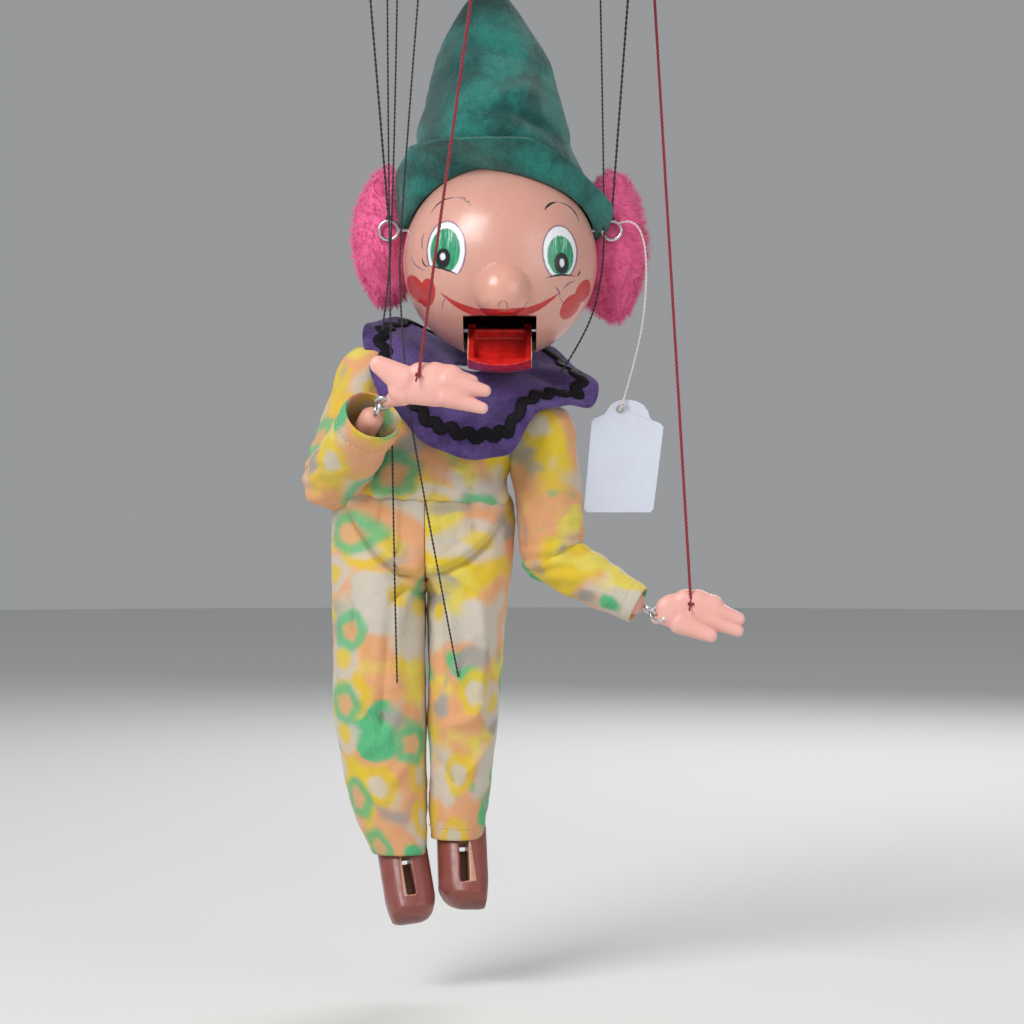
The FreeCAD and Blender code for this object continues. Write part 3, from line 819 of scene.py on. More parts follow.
def hat():
    columns = 144
    rows = []
    for j in range(columns):
        turn = 360.0 * j / columns - 180
        way = compass(turn)
        low = periodic(RIM, turn)
        flare = 4.6 * math.exp(-((turn - 90) / 16) ** 2) + 1.2 * math.exp(-((turn + 92) / 18) ** 2)
        rim_r = math.sqrt(max(39.2 ** 2 - low * low, 0)) + 0.6
        ring = [Vector((0, 0, h)) + Vector((cx + w * way.x, cy + d * way.y, 0)) for h, cx, cy, w, d in CONE]
        rim = way * rim_r + Vector((0, 0, low))
        side = max(0.0, 1 - (44 - low) / 60)
        shoulder = rim.lerp(ring[0], 0.5) + way * (3.4 * (1 - side) + 0.5)
        tall = periodic(BAND, turn)
        share = min(tall / (44 - low), 1.0)
        wave = 0.5 * math.sin(math.radians(turn * 3 + 40)) + 0.3 * math.sin(math.radians(turn * 7))
        bulge = 2.6 * (1 - side) * math.sin(math.pi * share * 0.5)
        top = rim.lerp(ring[0], share) + way * (4.6 + flare + wave + bulge)
        middle = rim.lerp(top, 0.5) + way * (1.3 + flare * 0.3)
        fold = rim + way * (2.0 + flare * 0.5) + Vector((0, 0, -0.3))
        rows.append([top, middle, fold, rim + Vector((0, 0, -0.9)), rim.lerp(shoulder, 0.4), shoulder] + ring)
    steps = 110
    points = []
    for i in range(steps):
        t = i / (steps - 1)
        for j in range(columns):
            turn = 360.0 * j / columns - 180
            p = through(rows[j], t)
            way = compass(turn)
            high = clamp((p.z - 40) / 12) * min(1.0, (110 - p.z) / 25)
            lump = noise.noise(Vector((way.x * 1.6, way.y * 1.6, p.z * 0.05))) * 2.2
            crease = 0.0
            for at, height, wide, tall, deep, slope in HAT_CREASES:
                off = (turn - at + 180) % 360 - 180
                crease += deep * math.exp(-(off / wide) ** 2 - ((p.z - height - off * slope) / tall) ** 2)
            p = p + way * ((lump + crease) * high)
            p = p + way * 0.25 * noise.noise(p * 0.35)
            points.append(HEAD + p * MM)
    tip = len(points)
    points.append(HEAD + mm(-4.0, 10.0, 108.9))
    faces = ring_faces(steps, columns)
    last = (steps - 1) * columns
    faces += [(last + j, last + (j + 1) % columns, tip) for j in range(columns)]
    piece = new_object("felt_hat", points, faces)
    thicken(piece, 1.5 * MM, 0.0)
    piece.data.shade_smooth()
    paint = felt_paint("hat_felt", (0.018, 0.23, 0.19), (0.003, 0.045, 0.045))
    finish_piece(piece, paint, "head", ("hat",))


# Strands of one tuft.
STRANDS = 6400


def hair():
    """Long pile: a soft core with thousands of tapered strands that curl out of it."""
    paint = Paint("hair_fur", (0.72, 0.09, 0.3), 0.8, Sheen_Weight=0.5, Sheen_Roughness=0.3)
    clumps = paint.noise(170.0, 4.0, rough=0.65)
    fibre = paint.noise(2200.0, 2.0)
    paint.colour(paint.layered(
        (0.86, 0.13, 0.33), (paint.spread(clumps, 0.4, 0.75, 0, 0.3), (0.7, 0.07, 0.24)),
        (paint.spread(fibre, 0.5, 0.75, 0, 0.4), (0.97, 0.4, 0.58))))
    paint.bump(clumps, 0.0012, 0.5)
    rng = random.Random(7)
    for side, s in SIGN.items():
        middle = HEAD + mm(s * 44.6, 20, 11.5 if side == "r" else 8)
        size = mm(12.8, 15.5, 26.5 if side == "r" else 28.5)
        points = []

        def shell(way):
            lump = 1 + 0.1 * noise.noise(way * 2.3 + Vector((s * 9, 0, 0))) + 0.05 * noise.noise(way * 6)
            return middle + Vector((way.x * size.x, way.y * size.y, way.z * size.z)) * lump

        rows, columns = 34, 48
        for i in range(rows):
            a = math.pi * (i + 0.5) / rows
            for b in circle(columns):
                way = Vector((math.sin(a) * math.cos(b), math.sin(a) * math.sin(b), math.cos(a)))
                points.append(shell(way) + way * 0.5 * MM * noise.noise(way * 19))
        faces = ring_faces(rows, columns)
        faces += [tuple(reversed(range(columns))), tuple((rows - 1) * columns + j for j in range(columns))]
        faces = [tuple(reversed(f)) for f in faces]
        for _ in range(STRANDS):
            z = rng.uniform(-1, 1)
            b = rng.uniform(0, 2 * math.pi)
            flat = math.sqrt(1 - z * z)
            way = Vector((flat * math.cos(b), flat * math.sin(b), z))
            root = shell(way)
            if (root - HEAD).length < HEAD_R - 1 * MM:
                continue
            clump = noise.noise_vector(root * 160) * 1.1 + noise.noise_vector(root * 520) * 0.7
            grow = (way + clump * 0.75 + Vector((0, 0, -0.15))).normalized()
            tall = rng.uniform(1.5, 3.2) * MM
            bend = (clump.cross(grow) + Vector((0, 0, -0.4))) * 0.5
            line = [root - way * 0.6 * MM]
            for k in range(1, 5):
                f = k / 4
                line.append(root + grow * (tall * f) + bend * (tall * f * f * 0.5))
            p, f = tube(line, [0.1 * MM, 0.095 * MM, 0.08 * MM, 0.05 * MM, 0.015 * MM], 3, len(points))
            points += p
            faces += f
        piece = new_object("hair_tuft_" + side, points, faces)
        finish_piece(piece, paint, "head", ("hair_tufts",))


# The ruff's edge, going round by the front from its tip on the puppet's left.
RUFF_EDGE = [mm(*place) for place in (
    (38.6, 1, -180.5), (36.4, -7, -188.3), (27.0, -12, -187.2), (18.0, -17, -190.2),
    (10.4, -24, -198.0), (4.2, -28, -205.6), (-4.5, -32, -208.8), (-14.4, -31, -208.4),
    (-24.4, -27.5, -204.0), (-33.0, -24.5, -198.5), (-40.0, -21, -189.8), (-46.5, -17, -182.0),
    (-51.0, -9, -170.5), (-53.0, 0, -160.0), (-50.0, 10, -153.5), (-41.0, 22, -152.5),
    (-28.0, 32, -157.0), (-10.0, 37, -156.5), (8.0, 35, -162.0), (22.0, 27, -164.5),
    (31.5, 15, -172.0))]
RUFF_NECK = mm(-7.5, 5.5, -171.5)
NECK_R = 9.5 * MM


def braid_place(turn):
    """How far out along the ruff the braid's middle is: it goes round in 27 waves."""
    return 0.80 + 0.036 * math.sin(2 * math.pi * 27 * turn)


def ruff_point(turn, s):
    """A point of the ruff. turn goes round from 0 to 1, and s from the neck to the edge."""
    count = len(RUFF_EDGE)
    x = (turn % 1.0) * count
    i = int(x)
    edge = spline(*(RUFF_EDGE[(i + k) % count] for k in (-1, 0, 1, 2)), x - i)
    out = edge - RUFF_NECK
    out.z *= 0.3
    inner = RUFF_NECK + out.normalized() * NECK_R
    p = inner.lerp(edge, s)
    ripple = math.sin(turn * 2 * math.pi * 7 + 0.6) * 1.5 + math.sin(turn * 2 * math.pi * 11 + 2.0) * 0.8
    arch = 2.6 * math.sin(math.pi * s * 0.9) + ripple * s * s * (1.2 - s * 0.5)
    soft = noise.noise(p * 55) * 1.1 * s
    return p + Vector((0, -0.25, 1)).normalized() * ((arch + soft) * MM)


def ruff():
    columns, rows = 260, 40
    points = [ruff_point(j / columns, i / (rows - 1)) for i in range(rows) for j in range(columns)]
    faces = ring_faces(rows, columns)
    felt = new_object("felt_ruff", points, faces)
    thicken(felt, 1.3 * MM, -1.0)
    felt.data.shade_smooth()
    paint = felt_paint("ruff_felt", (0.15, 0.085, 0.32), (0.035, 0.016, 0.1), 0.2)
    finish_piece(felt, paint, "torso", ("ruff",))

    # The braid is a narrow woven band in waves, sewn on a little inside the edge.
    count, sides = 1100, 8
    points = []
    for k in range(count):
        turn = k / count
        place = braid_place(turn)
        p = ruff_point(turn, place)
        ahead = ruff_point(turn + 1 / count, braid_place(turn + 1 / count))
        way = (ahead - p).normalized()
        out = (ruff_point(turn, place + 0.03) - p).normalized()
        up = way.cross(out).normalized()
        if up.z < 0:
            up = -up
        side = up.cross(way).normalized()
        rib = 1 + 0.1 * math.sin(2 * math.pi * 330 * turn)
        for a in circle(sides):
            points.append(p + side * (2.25 * MM * rib * math.cos(a)) + up * ((0.35 + 0.6 * math.sin(a)) * MM))
    faces = ring_faces(count, sides)
    last = (count - 1) * sides
    faces += [(last + j, last + (j + 1) % sides, (j + 1) % sides, j) for j in range(sides)]
    braid = new_object("ruff_braid_woven", points, faces)
    paint = Paint("braid", (0.008, 0.007, 0.01), 0.75, Specular_IOR_Level=0.2)
    rib = paint.noise(2600.0, 3.0)
    paint.colour(paint.mix(paint.spread(rib, 0.4, 0.7), (0.003, 0.003, 0.004), (0.014, 0.012, 0.018)))
    paint.bump(rib, 0.0002, 0.8)
    finish_piece(braid, paint, "torso", ("ruff_braid",))


# ---- the jumpsuit ----
# Every panel is a grid of points, with rows along the limb and PANEL columns round it.
MIDDLE = -28.6 * MM
PANEL = 144


def smoothed(grid, times, first=1, last=1):
    """Relaxes the rows between the first and last ones, as cloth would."""
    for _ in range(times):
        grid = [row if i < first or i >= len(grid) - last else
                [(grid[i - 1][j] + grid[i + 1][j] + row[j - 1] + row[(j + 1) % len(row)]) * 0.15
                 + row[j] * 0.4 for j in range(len(row))] for i, row in enumerate(grid)]
    return grid


def pushed(grid, push):
    """Moves each point out along the cloth's normal by push(point, normal), in millimetres."""
    rows, made = len(grid), []
    for i, row in enumerate(grid):
        up, down = grid[max(i - 1, 0)], grid[min(i + 1, rows - 1)]
        middle = sum(row, Vector()) / len(row)
        line = []
        for j, p in enumerate(row):
            normal = (row[(j + 1) % len(row)] - row[j - 1]).cross(down[j] - up[j])
            normal = normal.normalized() if normal.length > 1e-12 else (p - middle).normalized()
            if normal.dot(p - middle) < 0:
                normal = -normal
            line.append(p + normal * (push(p / MM, normal) * MM))
        made.append(line)
    return made


def fold(p, path, wide, high):
    """A ridge, or a groove if high is negative, along a path of (x, z), fading at both ends."""
    best, at = 1e9, 0
    count = len(path) - 1
    for k in range(count):
        a, b = Vector(path[k]), Vector(path[k + 1])
        q = Vector((p.x, p.z))
        t = min(max((q - a).dot(b - a) / (b - a).length_squared, 0), 1)
        far = (q - a.lerp(b, t)).length
        if far < best:
            best, at = far, (k + t) / count
    if best > 3 * wide:
        return 0.0
    fade = min(1.0, 4 * at, 4 * (1 - at))
    return high * math.exp(-(best / wide) ** 2) * (0.25 + 0.75 * fade)


def crumple(p, seed, size, squeeze=2.4):
    """Soft sharp-crested creases, longer along z than across."""
    q = Vector((p.x, p.y, p.z / squeeze)) / size + Vector((seed * 7.3, 0, 0))
    ridge = 1 - abs(noise.noise(q)) * 2.4
    return max(ridge, -0.4) * 0.6 + 0.4 * noise.noise(q * 2.3)


def panel(name, grid, girth, start=(0.0, 0.0), thickness=0.4):
    """The grid as cloth with a thickness, and a UV map in metres that begins at start on the print."""
    columns = len(grid[0])
    points = [p for row in grid for p in row]
    piece = new_object(name, points, ring_faces(len(grid), columns))
    fall, v = [0.0], 0.0
    looked_at = range(0, columns, 8)
    for above, row in zip(grid, grid[1:]):
        v += sum((row[j] - above[j]).length for j in looked_at) / len(looked_at)
        fall.append(v)
    layer = piece.data.uv_layers.new(name="cloth")
    for face in piece.data.polygons:
        turns = [k % columns for k in face.vertices]
        wraps = max(turns) - min(turns) > columns / 2
        for k, vertex in zip(face.loop_indices, face.vertices):
            j = vertex % columns
            past = columns if wraps and j < columns / 2 else 0
            layer.data[k].uv = (start[0] + (j + past) / columns * girth, start[1] - fall[vertex // columns])
    thicken(piece, thickness * MM, -1.0)
    piece.data.shade_smooth()
    piece.data.set_sharp_from_angle(angle=math.radians(60))
    return piece


def length_down(grid):
    """The panel's usual length from its first row to its last."""
    runs = [length_of([row[j] for row in grid]) for j in range(0, len(grid[0]), 12)]
    return sum(runs) / len(runs)


# Threads of the plain weave in a metre.
THREADS = 2600


def print_paint():
    """Soft printed flowers and blots on a plain weave, with painted shade in its creases."""
    paint = Paint("printed_cotton", (0.75, 0.6, 0.2), 0.88, Sheen_Weight=0.2, Specular_IOR_Level=0.2)
    uv = paint.node("ShaderNodeUVMap", uv_map="cloth").outputs[0]
    soft = paint.vector("ADD", uv, paint.scaled(paint.noise_vector(110.0, uv), 0.0045))
    yellow, lemon = (0.74, 0.52, 0.015), (0.76, 0.62, 0.09)
    peach, mint, chalk, grey = (0.76, 0.36, 0.17), (0.07, 0.46, 0.2), (0.6, 0.54, 0.46), (0.36, 0.33, 0.3)

    def blots(scale, seed, low, high):
        there = paint.vector("ADD", soft, (seed, seed * 1.7, 0))
        return paint.spread(paint.noise(scale, 1.5, there, 0.55), low, high)

    def flowers(size, seed):
        """Distance from the nearest flower's heart, in radii of a five-petalled flower, and its colour."""
        there = paint.vector("ADD", soft, (seed, seed * 0.6, 0))
        made = paint.node("ShaderNodeTexVoronoi", {"Vector": there, "Scale": 1 / size, "Randomness": 0.75},
                          feature="F1", voronoi_dimensions="2D")
        heart = paint.vector("SUBTRACT", there, made.outputs["Position"])
        x, y, _ = paint.xyz(heart)
        petals = paint.math("COSINE", paint.times(paint.math("ARCTAN2", y, x), 5.0))
        far = paint.math("DIVIDE", paint.vector("LENGTH", heart),
                         paint.math("ADD", paint.times(petals, 0.00045), 0.0086))
        pick = paint.xyz(made.outputs["Color"])
        return far, pick

    colour = paint.layered(
        peach, (blots(30.0, 0.0, 0.49, 0.6), yellow), (blots(36.0, 3.1, 0.5, 0.61), chalk),
        (blots(42.0, 5.7, 0.56, 0.68), lemon), (blots(40.0, 9.2, 0.6, 0.68), mint),
        (blots(48.0, 12.4, 0.56, 0.68), grey))
    for size, seed, ring, heart in ((0.031, 0.37, yellow, chalk), (0.037, 0.81, chalk, yellow),
                                    (0.028, 0.0, mint, peach)):
        far, pick = flowers(size, seed)
        shown = paint.spread(pick[0], 0.5, 0.54, 0, 0.85)
        body = paint.times(paint.spread(far, 1.2, 0.75), shown)
        middle = paint.times(paint.spread(far, 0.66, 0.3), shown)
        colour = paint.layered(colour, (body, ring), (middle, heart))
    across, down = (paint.math("SINE", paint.times(paint.xyz(uv)[k], 2 * math.pi * THREADS)) for k in (0, 1))
    weave = paint.times(across, down)
    thread = paint.noise(1600.0, 2.0, paint.scaled(uv, 1.0, 0.25, 1.0))
    colour = paint.mix(paint.spread(thread, 0.35, 0.75, 0, 0.22), colour, (0.5, 0.42, 0.28))
    # Darker where the cloth bends inwards, in its creases and folds: painted shade.
    bend = paint.node("ShaderNodeNewGeometry").outputs["Pointiness"]
    colour = paint.mix(paint.spread(bend, 0.496, 0.46, 0, 0.36), colour, (0.42, 0.24, 0.1), "MULTIPLY")
    paint.colour(colour)
    paint.bump(paint.noise(420.0, 3.0, uv), 0.0005, 0.6)
    return paint.bump(weave, 0.00004, 0.6)


def stitches(name, row, body, paint):
    """A row of small running stitches round a hem, a quarter of a millimetre out from the cloth."""
    lines = []
    count = len(row)
    middle = sum(row, Vector()) / count
    for j in range(0, count, 4):
        ends = []
        for k in (j, j + 1, j + 2):
            p = row[k % count]
            ends.append(p + (p - middle).normalized() * 0.25 * MM)
        lines.append(ends)
    piece = tubes(name, lines, 0.16 * MM, 5)
    return finish_piece(piece, paint, body)


# Rings down each side of the trousers: height, middle in x and y, half width and half depth.
TROUSERS = {
    "r": [(-215.5, -28.6, 0.2, 27.5, 14.2), (-221, -28.6, 0.1, 32.6, 16.6), (-229, -28.6, 0, 35.0, 18.0),
          (-240, -28.6, 0, 35.4, 18.6), (-250, -37.4, 0, 26.6, 18.4), (-258, -46.0, 0, 17.9, 17.8),
          (-268, -46.4, -0.3, 17.5, 17.6), (-290, -46.2, -1.2, 17.3, 17.6), (-312, -45.6, -1.4, 16.8, 16.2),
          (-330, -44.4, -1.0, 15.6, 14.6), (-343, -42.4, -0.4, 14.0, 13.3), (-353, -40.0, 0.3, 12.4, 12.4),
          (-361.0, -38.2, 0.9, 11.4, 11.7)],
    "l": [(-215.5, -28.6, 0.2, 27.0, 14.2), (-221, -28.6, 0.1, 32.0, 16.6), (-229, -28.6, 0, 34.0, 18.0),
          (-240, -28.6, 0, 33.8, 18.4), (-250, -20.4, 0, 25.0, 17.8), (-258, -13.0, 0, 15.9, 17.0),
          (-268, -12.9, -0.4, 15.2, 16.8), (-286, -13.4, -1.2, 14.4, 16.6), (-304, -14.0, -1.4, 13.4, 15.6),
          (-322, -14.5, -0.6, 12.4, 13.8), (-336, -15.2, 0.6, 11.5, 12.4), (-347, -15.9, 1.8, 10.8, 11.4),
          (-355.8, -16.4, 2.8, 10.4, 11.0)],
}
# Folds at the front of the trousers: a path of (x, z), half width, and height, which is negative in a groove.
FRONT_FOLDS = {
    "r": [([(-58, -220), (-52, -233), (-45, -243), (-37, -249), (-24, -251)], 3.0, 1.9),
          ([(-60.5, -224), (-54, -236.5), (-46.5, -247), (-38, -253.5), (-24, -255)], 1.5, -1.9),
          ([(-31, -252), (-37, -262), (-39, -276)], 1.8, 1.3), ([(-33, -256), (-42, -264)], 1.5, -1.0),
          ([(-50, -262), (-53, -285), (-52, -310)], 2.4, 1.2), ([(-56, -258), (-58, -285)], 2.0, -1.1),
          ([(-42, -268), (-44, -292), (-46, -320)], 2.2, -1.1),
          ([(-36, -300), (-44, -316), (-55, -322)], 2.2, 1.2),
          ([(-57, -300), (-50, -308), (-40, -309)], 1.8, -1.1), ([(-34, -322), (-42, -334)], 1.8, 1.0),
          ([(-52, -330), (-42, -345)], 2.0, 1.0), ([(-45, -222), (-47, -236)], 1.6, -1.0),
          ([(-36, -224), (-38, -240)], 1.4, 0.8)],
    "l": [([(2, -225), (-6, -237.5), (-13, -244), (-21, -248), (-33, -251)], 3.0, 1.5),
          ([(4, -229), (-5, -242), (-12, -248), (-20, -252), (-33, -255)], 1.6, -1.4),
          ([(-26, -252), (-20, -264), (-17, -280)], 1.8, 1.2),
          ([(-8, -262), (-6, -285), (-9, -306)], 2.2, 1.2), ([(-22, -272), (-20, -300)], 1.8, -1.0),
          ([(-2, -296), (-10, -308), (-22, -312)], 2.0, 1.2), ([(-4, -318), (-12, -330)], 1.8, 1.0),
          ([(-24, -322), (-16, -336)], 1.8, -0.9), ([(-12, -222), (-10, -238)], 1.6, -1.0),
          ([(-20, -224), (-19, -242)], 1.5, 0.9)],
}
# Where each knee string pulls the cloth out: x and z.
KNEE_TIE = {"r": (-38.8, -294.4), "l": (-15.5, -291.8)}


def trouser_grid(side, rows):
    s = SIGN[side]
    knots = [Vector((z, cx, cy)) for z, cx, cy, _, _ in TROUSERS[side]]
    sizes = [Vector((a, b, 0)) for _, _, _, a, b in TROUSERS[side]]
    grid = []
    for i in range(rows):
        t = i / (rows - 1)
        (z, cx, cy), size = through(knots, t), through(sizes, t)
        line = []
        for a in circle(PANEL):
            x = cx + s * size.x * math.cos(a)
            y = cy - size.y * math.sin(a)
            away = s * (x - MIDDLE / MM)
            away = 0.5 * (away + 0.35 + math.sqrt((away - 0.35) ** 2 + 0.9))
            line.append(mm(MIDDLE / MM + s * away, y, z))
        grid.append(line)
    return grid


def trousers(paint, thread):
    """Each side of the trousers in two panels: the seat as far as the upper thigh, and the leg."""
    for side in SIDES:
        s = SIGN[side]
        shape_only = trouser_grid(side, 170)
        tie = KNEE_TIE[side]

        def push(p, normal):
            inside = s * (p.x - MIDDLE / MM) < 1.6
            out = 1.5 * crumple(p, 1 + s, 16.0) + 0.3 * noise.noise(p * 0.28)
            if normal.y < 0.2:
                out += 1.35 * sum(fold(p, *f) for f in FRONT_FOLDS[side])
                out += 1.7 * math.exp(-((p.x - tie[0]) ** 2 + (p.z - tie[1]) ** 2) / 18)
            low = TROUSERS[side][-1][0]
            ends = min(1.0, 0.25 + (p.z - low) / 12) * min(1.0, (-214 - p.z) / 9)
            return (0.12 if inside and p.z > -254 else 1.0) * out * ends

        grid = smoothed(pushed(shape_only, push), 2)
        split = next(i for i, row in enumerate(shape_only) if row[0].z < -276 * MM)
        low = grid[-1]
        middle = sum(low, Vector()) / PANEL
        turned_in = [[middle + (p - middle) * (1 - f) + mm(0, 0, lift) for p in low]
                     for f, lift in ((0.035, -0.35), (0.085, 0.0), (0.1, 2.0), (0.1, 4.5))]
        place = (0.31 if side == "r" else 0.83, 0.0)
        used = length_down(grid[:split + 1])
        seat = panel("seat_cloth_" + side, grid[:split + 1], 0.107, place)
        leg = panel("leg_cloth_" + side, grid[split:] + turned_in, 0.107, (place[0], -used))
        thigh, shin = "thigh_" + side, "shin_" + side
        finish_piece(seat, paint)
        finish_piece(leg, paint)
        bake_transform(seat)
        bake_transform(leg)
        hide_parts("trouser_leg_" + side)
        if side == "r":
            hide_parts("trouser_seat")
        stitches("hem_stitch_" + side, grid[-9], shin, thread)


def torso_frame():
    middle = (SHOULDER["r"] + SHOULDER["l"]) / 2
    right = (SHOULDER["l"] - SHOULDER["r"]).normalized()
    up = right.cross(Vector((0, 1, 0))).normalized()
    return middle, right, up if up.z > 0 else -up


def bodice(paint):
    """The chest and its blouse over the waist, tucked back under itself."""
    middle, right, up = torso_frame()
    level = Vector((1, 0, -0.06)).normalized()
    # Middle, how far it's level with the hips, half width and half depth.
    rings = [(middle + up * 3.5 * MM, 0.0, 10.5, 8.5), (middle + up * 3 * MM, 0.0, 17, 10.0),
             (middle + up * 1.5 * MM, 0.0, 26, 12.0), (middle - up * 2.5 * MM, 0.0, 30.5, 14.0),
             (middle - up * 8 * MM, 0.05, 29.5, 15.4), (middle - up * 17 * MM, 0.2, 28.4, 16.0),
             (mm(-26.0, 0, -210.5), 0.5, 29.2, 16.6), (mm(-28.2, -0.3, -217.0), 0.8, 31.4, 18.0),
             (mm(-28.9, -0.5, -221.4), 1.0, 32.6, 19.0), (mm(-28.9, -0.5, -224.4), 1.0, 32.0, 18.6),
             (mm(-28.8, -0.2, -224.8), 1.0, 30.6, 17.3), (mm(-28.7, 0, -221.5), 1.0, 29.2, 16.0)]
    mids = [r[0] for r in rings]
    sizes = [Vector(r[1:]) for r in rings]
    grid = []
    rows = 92
    for i in range(rows):
        t = i / (rows - 1)
        centre, size = through(mids, t), through(sizes, t)
        side = right.lerp(level, clamp(size.x)).normalized()
        line = []
        for a in circle(PANEL):
            line.append(centre + side * (size.y * math.cos(a) * MM) + mm(0, -size.z * math.sin(a), 0))
        grid.append(line)
    for i, row in enumerate(grid):
        sag = max(0.0, i / (rows - 1) - 0.55) / 0.45
        grid[i] = [p + mm(0, 0, (1.6 + 3.4 * noise.noise(Vector((p.x * 55, p.y * 40, 3.0)))) * sag)
                   for p in row]
    folds = [([(-41, -203), (-44, -213), (-46, -222)], 1.8, 1.3), ([(-36, -206), (-38, -220)], 1.6, -1.2),
             ([(-28, -207), (-29, -222)], 1.7, 1.2), ([(-20, -208), (-21, -221)], 1.5, -1.1),
             ([(-12, -206), (-13, -221)], 1.7, 1.2), ([(-4, -204), (-5, -220)], 1.5, -1.1),
             ([(-52, -205), (-54, -218)], 1.7, -1.1), ([(4, -199), (-4, -208), (-16, -213)], 1.8, 1.2),
             ([(-24, -224.5), (-24, -206)], 0.8, -0.7)]

    def push(p, normal):
        out = 1.3 * crumple(p, 5, 14.0) + 0.3 * noise.noise(p * 0.3)
        gather = math.sin(math.atan2(p.y, p.x + 28.6) * 15 + 5 * noise.noise(p * 0.07)) * 0.5
        out += gather * math.exp(-((p.z + 222.5) / 5.0) ** 2)
        if normal.y < 0.2:
            out += 0.6 * sum(fold(p, *f) for f in folds)
        return out * min(1.0, max(0.15, (-172 - p.z) / 12))

    grid = smoothed(pushed(grid, push), 1)
    piece = panel("bodice_cloth", grid, 0.15, (1.4, 0.2))
    finish_piece(piece, paint)
    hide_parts("bodice")
    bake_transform(piece)


# Each sleeve's radius at the top of the upper arm, its middle, the elbow, the forearm's middle and the cuff.
SLEEVE = {"r": (11.8, 12.6, 12.0, 11.2, 10.6), "l": (12.6, 13.4, 11.2, 9.6, 6.9)}


def sleeve_grid(side):
    """Two tubes that meet in a mitre at the elbow, and a rounded cap over the shoulder."""
    top, elbow, wrist = SHOULDER[side], ELBOW[side], WRIST[side]
    first, second = (elbow - top).normalized(), (wrist - elbow).normalized()
    across = first.cross(second).normalized()
    inward = (second - first).normalized()
    half = math.acos(max(-1, min(1, first.dot(second)))) / 2
    radii = [r * MM for r in SLEEVE[side]]
    grid = []

    def ring(centre, way, radius):
        inner = across.cross(way)
        if inner.dot(inward) < 0:
            inner = -inner
        return [centre + inner * (radius * math.cos(a)) + across * (radius * math.sin(a))
                for a in circle(PANEL)]

    mitre = []
    for a in circle(PANEL):
        reach = radii[2] / math.cos(half) if math.cos(a) > 0 else radii[2] * 0.98
        mitre.append(elbow + inward * (reach * math.cos(a)) + across * (radii[2] * math.sin(a)))
    for f, lift in ((0.12, 9.6), (0.45, 9.0), (0.72, 7.4), (0.9, 4.6), (0.99, 1.2)):
        grid.append(ring(top - first * lift * MM, first, radii[0] * f))
    reach_up = (elbow - top).length
    above = 26
    for i in range(above):
        t = i / above
        radius = radii[0] + (radii[1] - radii[0]) * math.sin(min(t * 1.6, 1) * math.pi / 2)
        straight = ring(top + first * (reach_up * t + 1.5 * MM), first, radius)
        k = t ** 2.2
        grid.append([p.lerp(m, k) for p, m in zip(straight, mitre)])
    grid.append(mitre)
    reach_down = (wrist - elbow).length - 2.5 * MM
    below = 28
    for i in range(1, below + 1):
        t = i / below
        radius = radii[3] + (radii[4] - radii[3]) * max(0, t * 2 - 1) if t > 0.5 else radii[3]
        straight = ring(elbow + second * (reach_down * t), second, radius)
        k = (1 - t) ** 2.2
        grid.append([p.lerp(m, k) for p, m in zip(straight, mitre)])
    fine = []
    for i in range(len(grid) - 1):
        for f in (0.0, 0.5):
            fine.append([p.lerp(q, f) for p, q in zip(grid[i], grid[i + 1])])
    fine.append(grid[-1])
    return smoothed(fine, 8, 1, 1), second


def sleeves(paint, thread):
    for side in SIDES:
        shape_only, second = sleeve_grid(side)
        elbow, wrist = ELBOW[side] / MM, WRIST[side] / MM
        down = (elbow - SHOULDER[side] / MM).normalized()

        def push(p, _):
            bend = math.exp(-((p - elbow).length / 17) ** 2)
            along = (p - elbow).dot(down)
            rings = math.sin(along * 1.05 + 2.2 * noise.noise(p * 0.09)) * 0.75 * bend
            slack = 1.4 * crumple(p, 11 if side == "r" else 17, 12.0, 1.6)
            cuff = clamp(((p - wrist).length - 4) / 12)
            return (slack + rings) * (0.12 + 0.88 * cuff)

        grid = smoothed(pushed(shape_only, push), 1)
        end = grid[-1]
        middle = sum(end, Vector()) / PANEL
        tall = 9 if side == "r" else 6
        for k in range(1, tall + 1):
            row = grid[-k]
            centre = sum(row, Vector()) / PANEL
            grid[-k] = [centre + (p - centre) * (1 + 0.055 * min(1.0, (tall + 1 - k) / 1.5)) for p in row]
        end = grid[-1]
        turned_in = [[middle + (p - middle) * (1 - f) + second * (ahead * MM) for p in end]
                     for f, ahead in ((0.03, 0.4), (0.09, 0.1), (0.11, -2.0), (0.12, -6.0), (0.12, -10.0))]
        piece = panel("sleeve_cloth_" + side, grid + turned_in, 0.074, (2.1 if side == "r" else 2.73, 0.4))
        finish_piece(piece, paint)
        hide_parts("sleeve_" + side)
        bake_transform(piece)
        stitches("cuff_stitch_" + side, grid[-tall - 1], "forearm_" + side, thread)


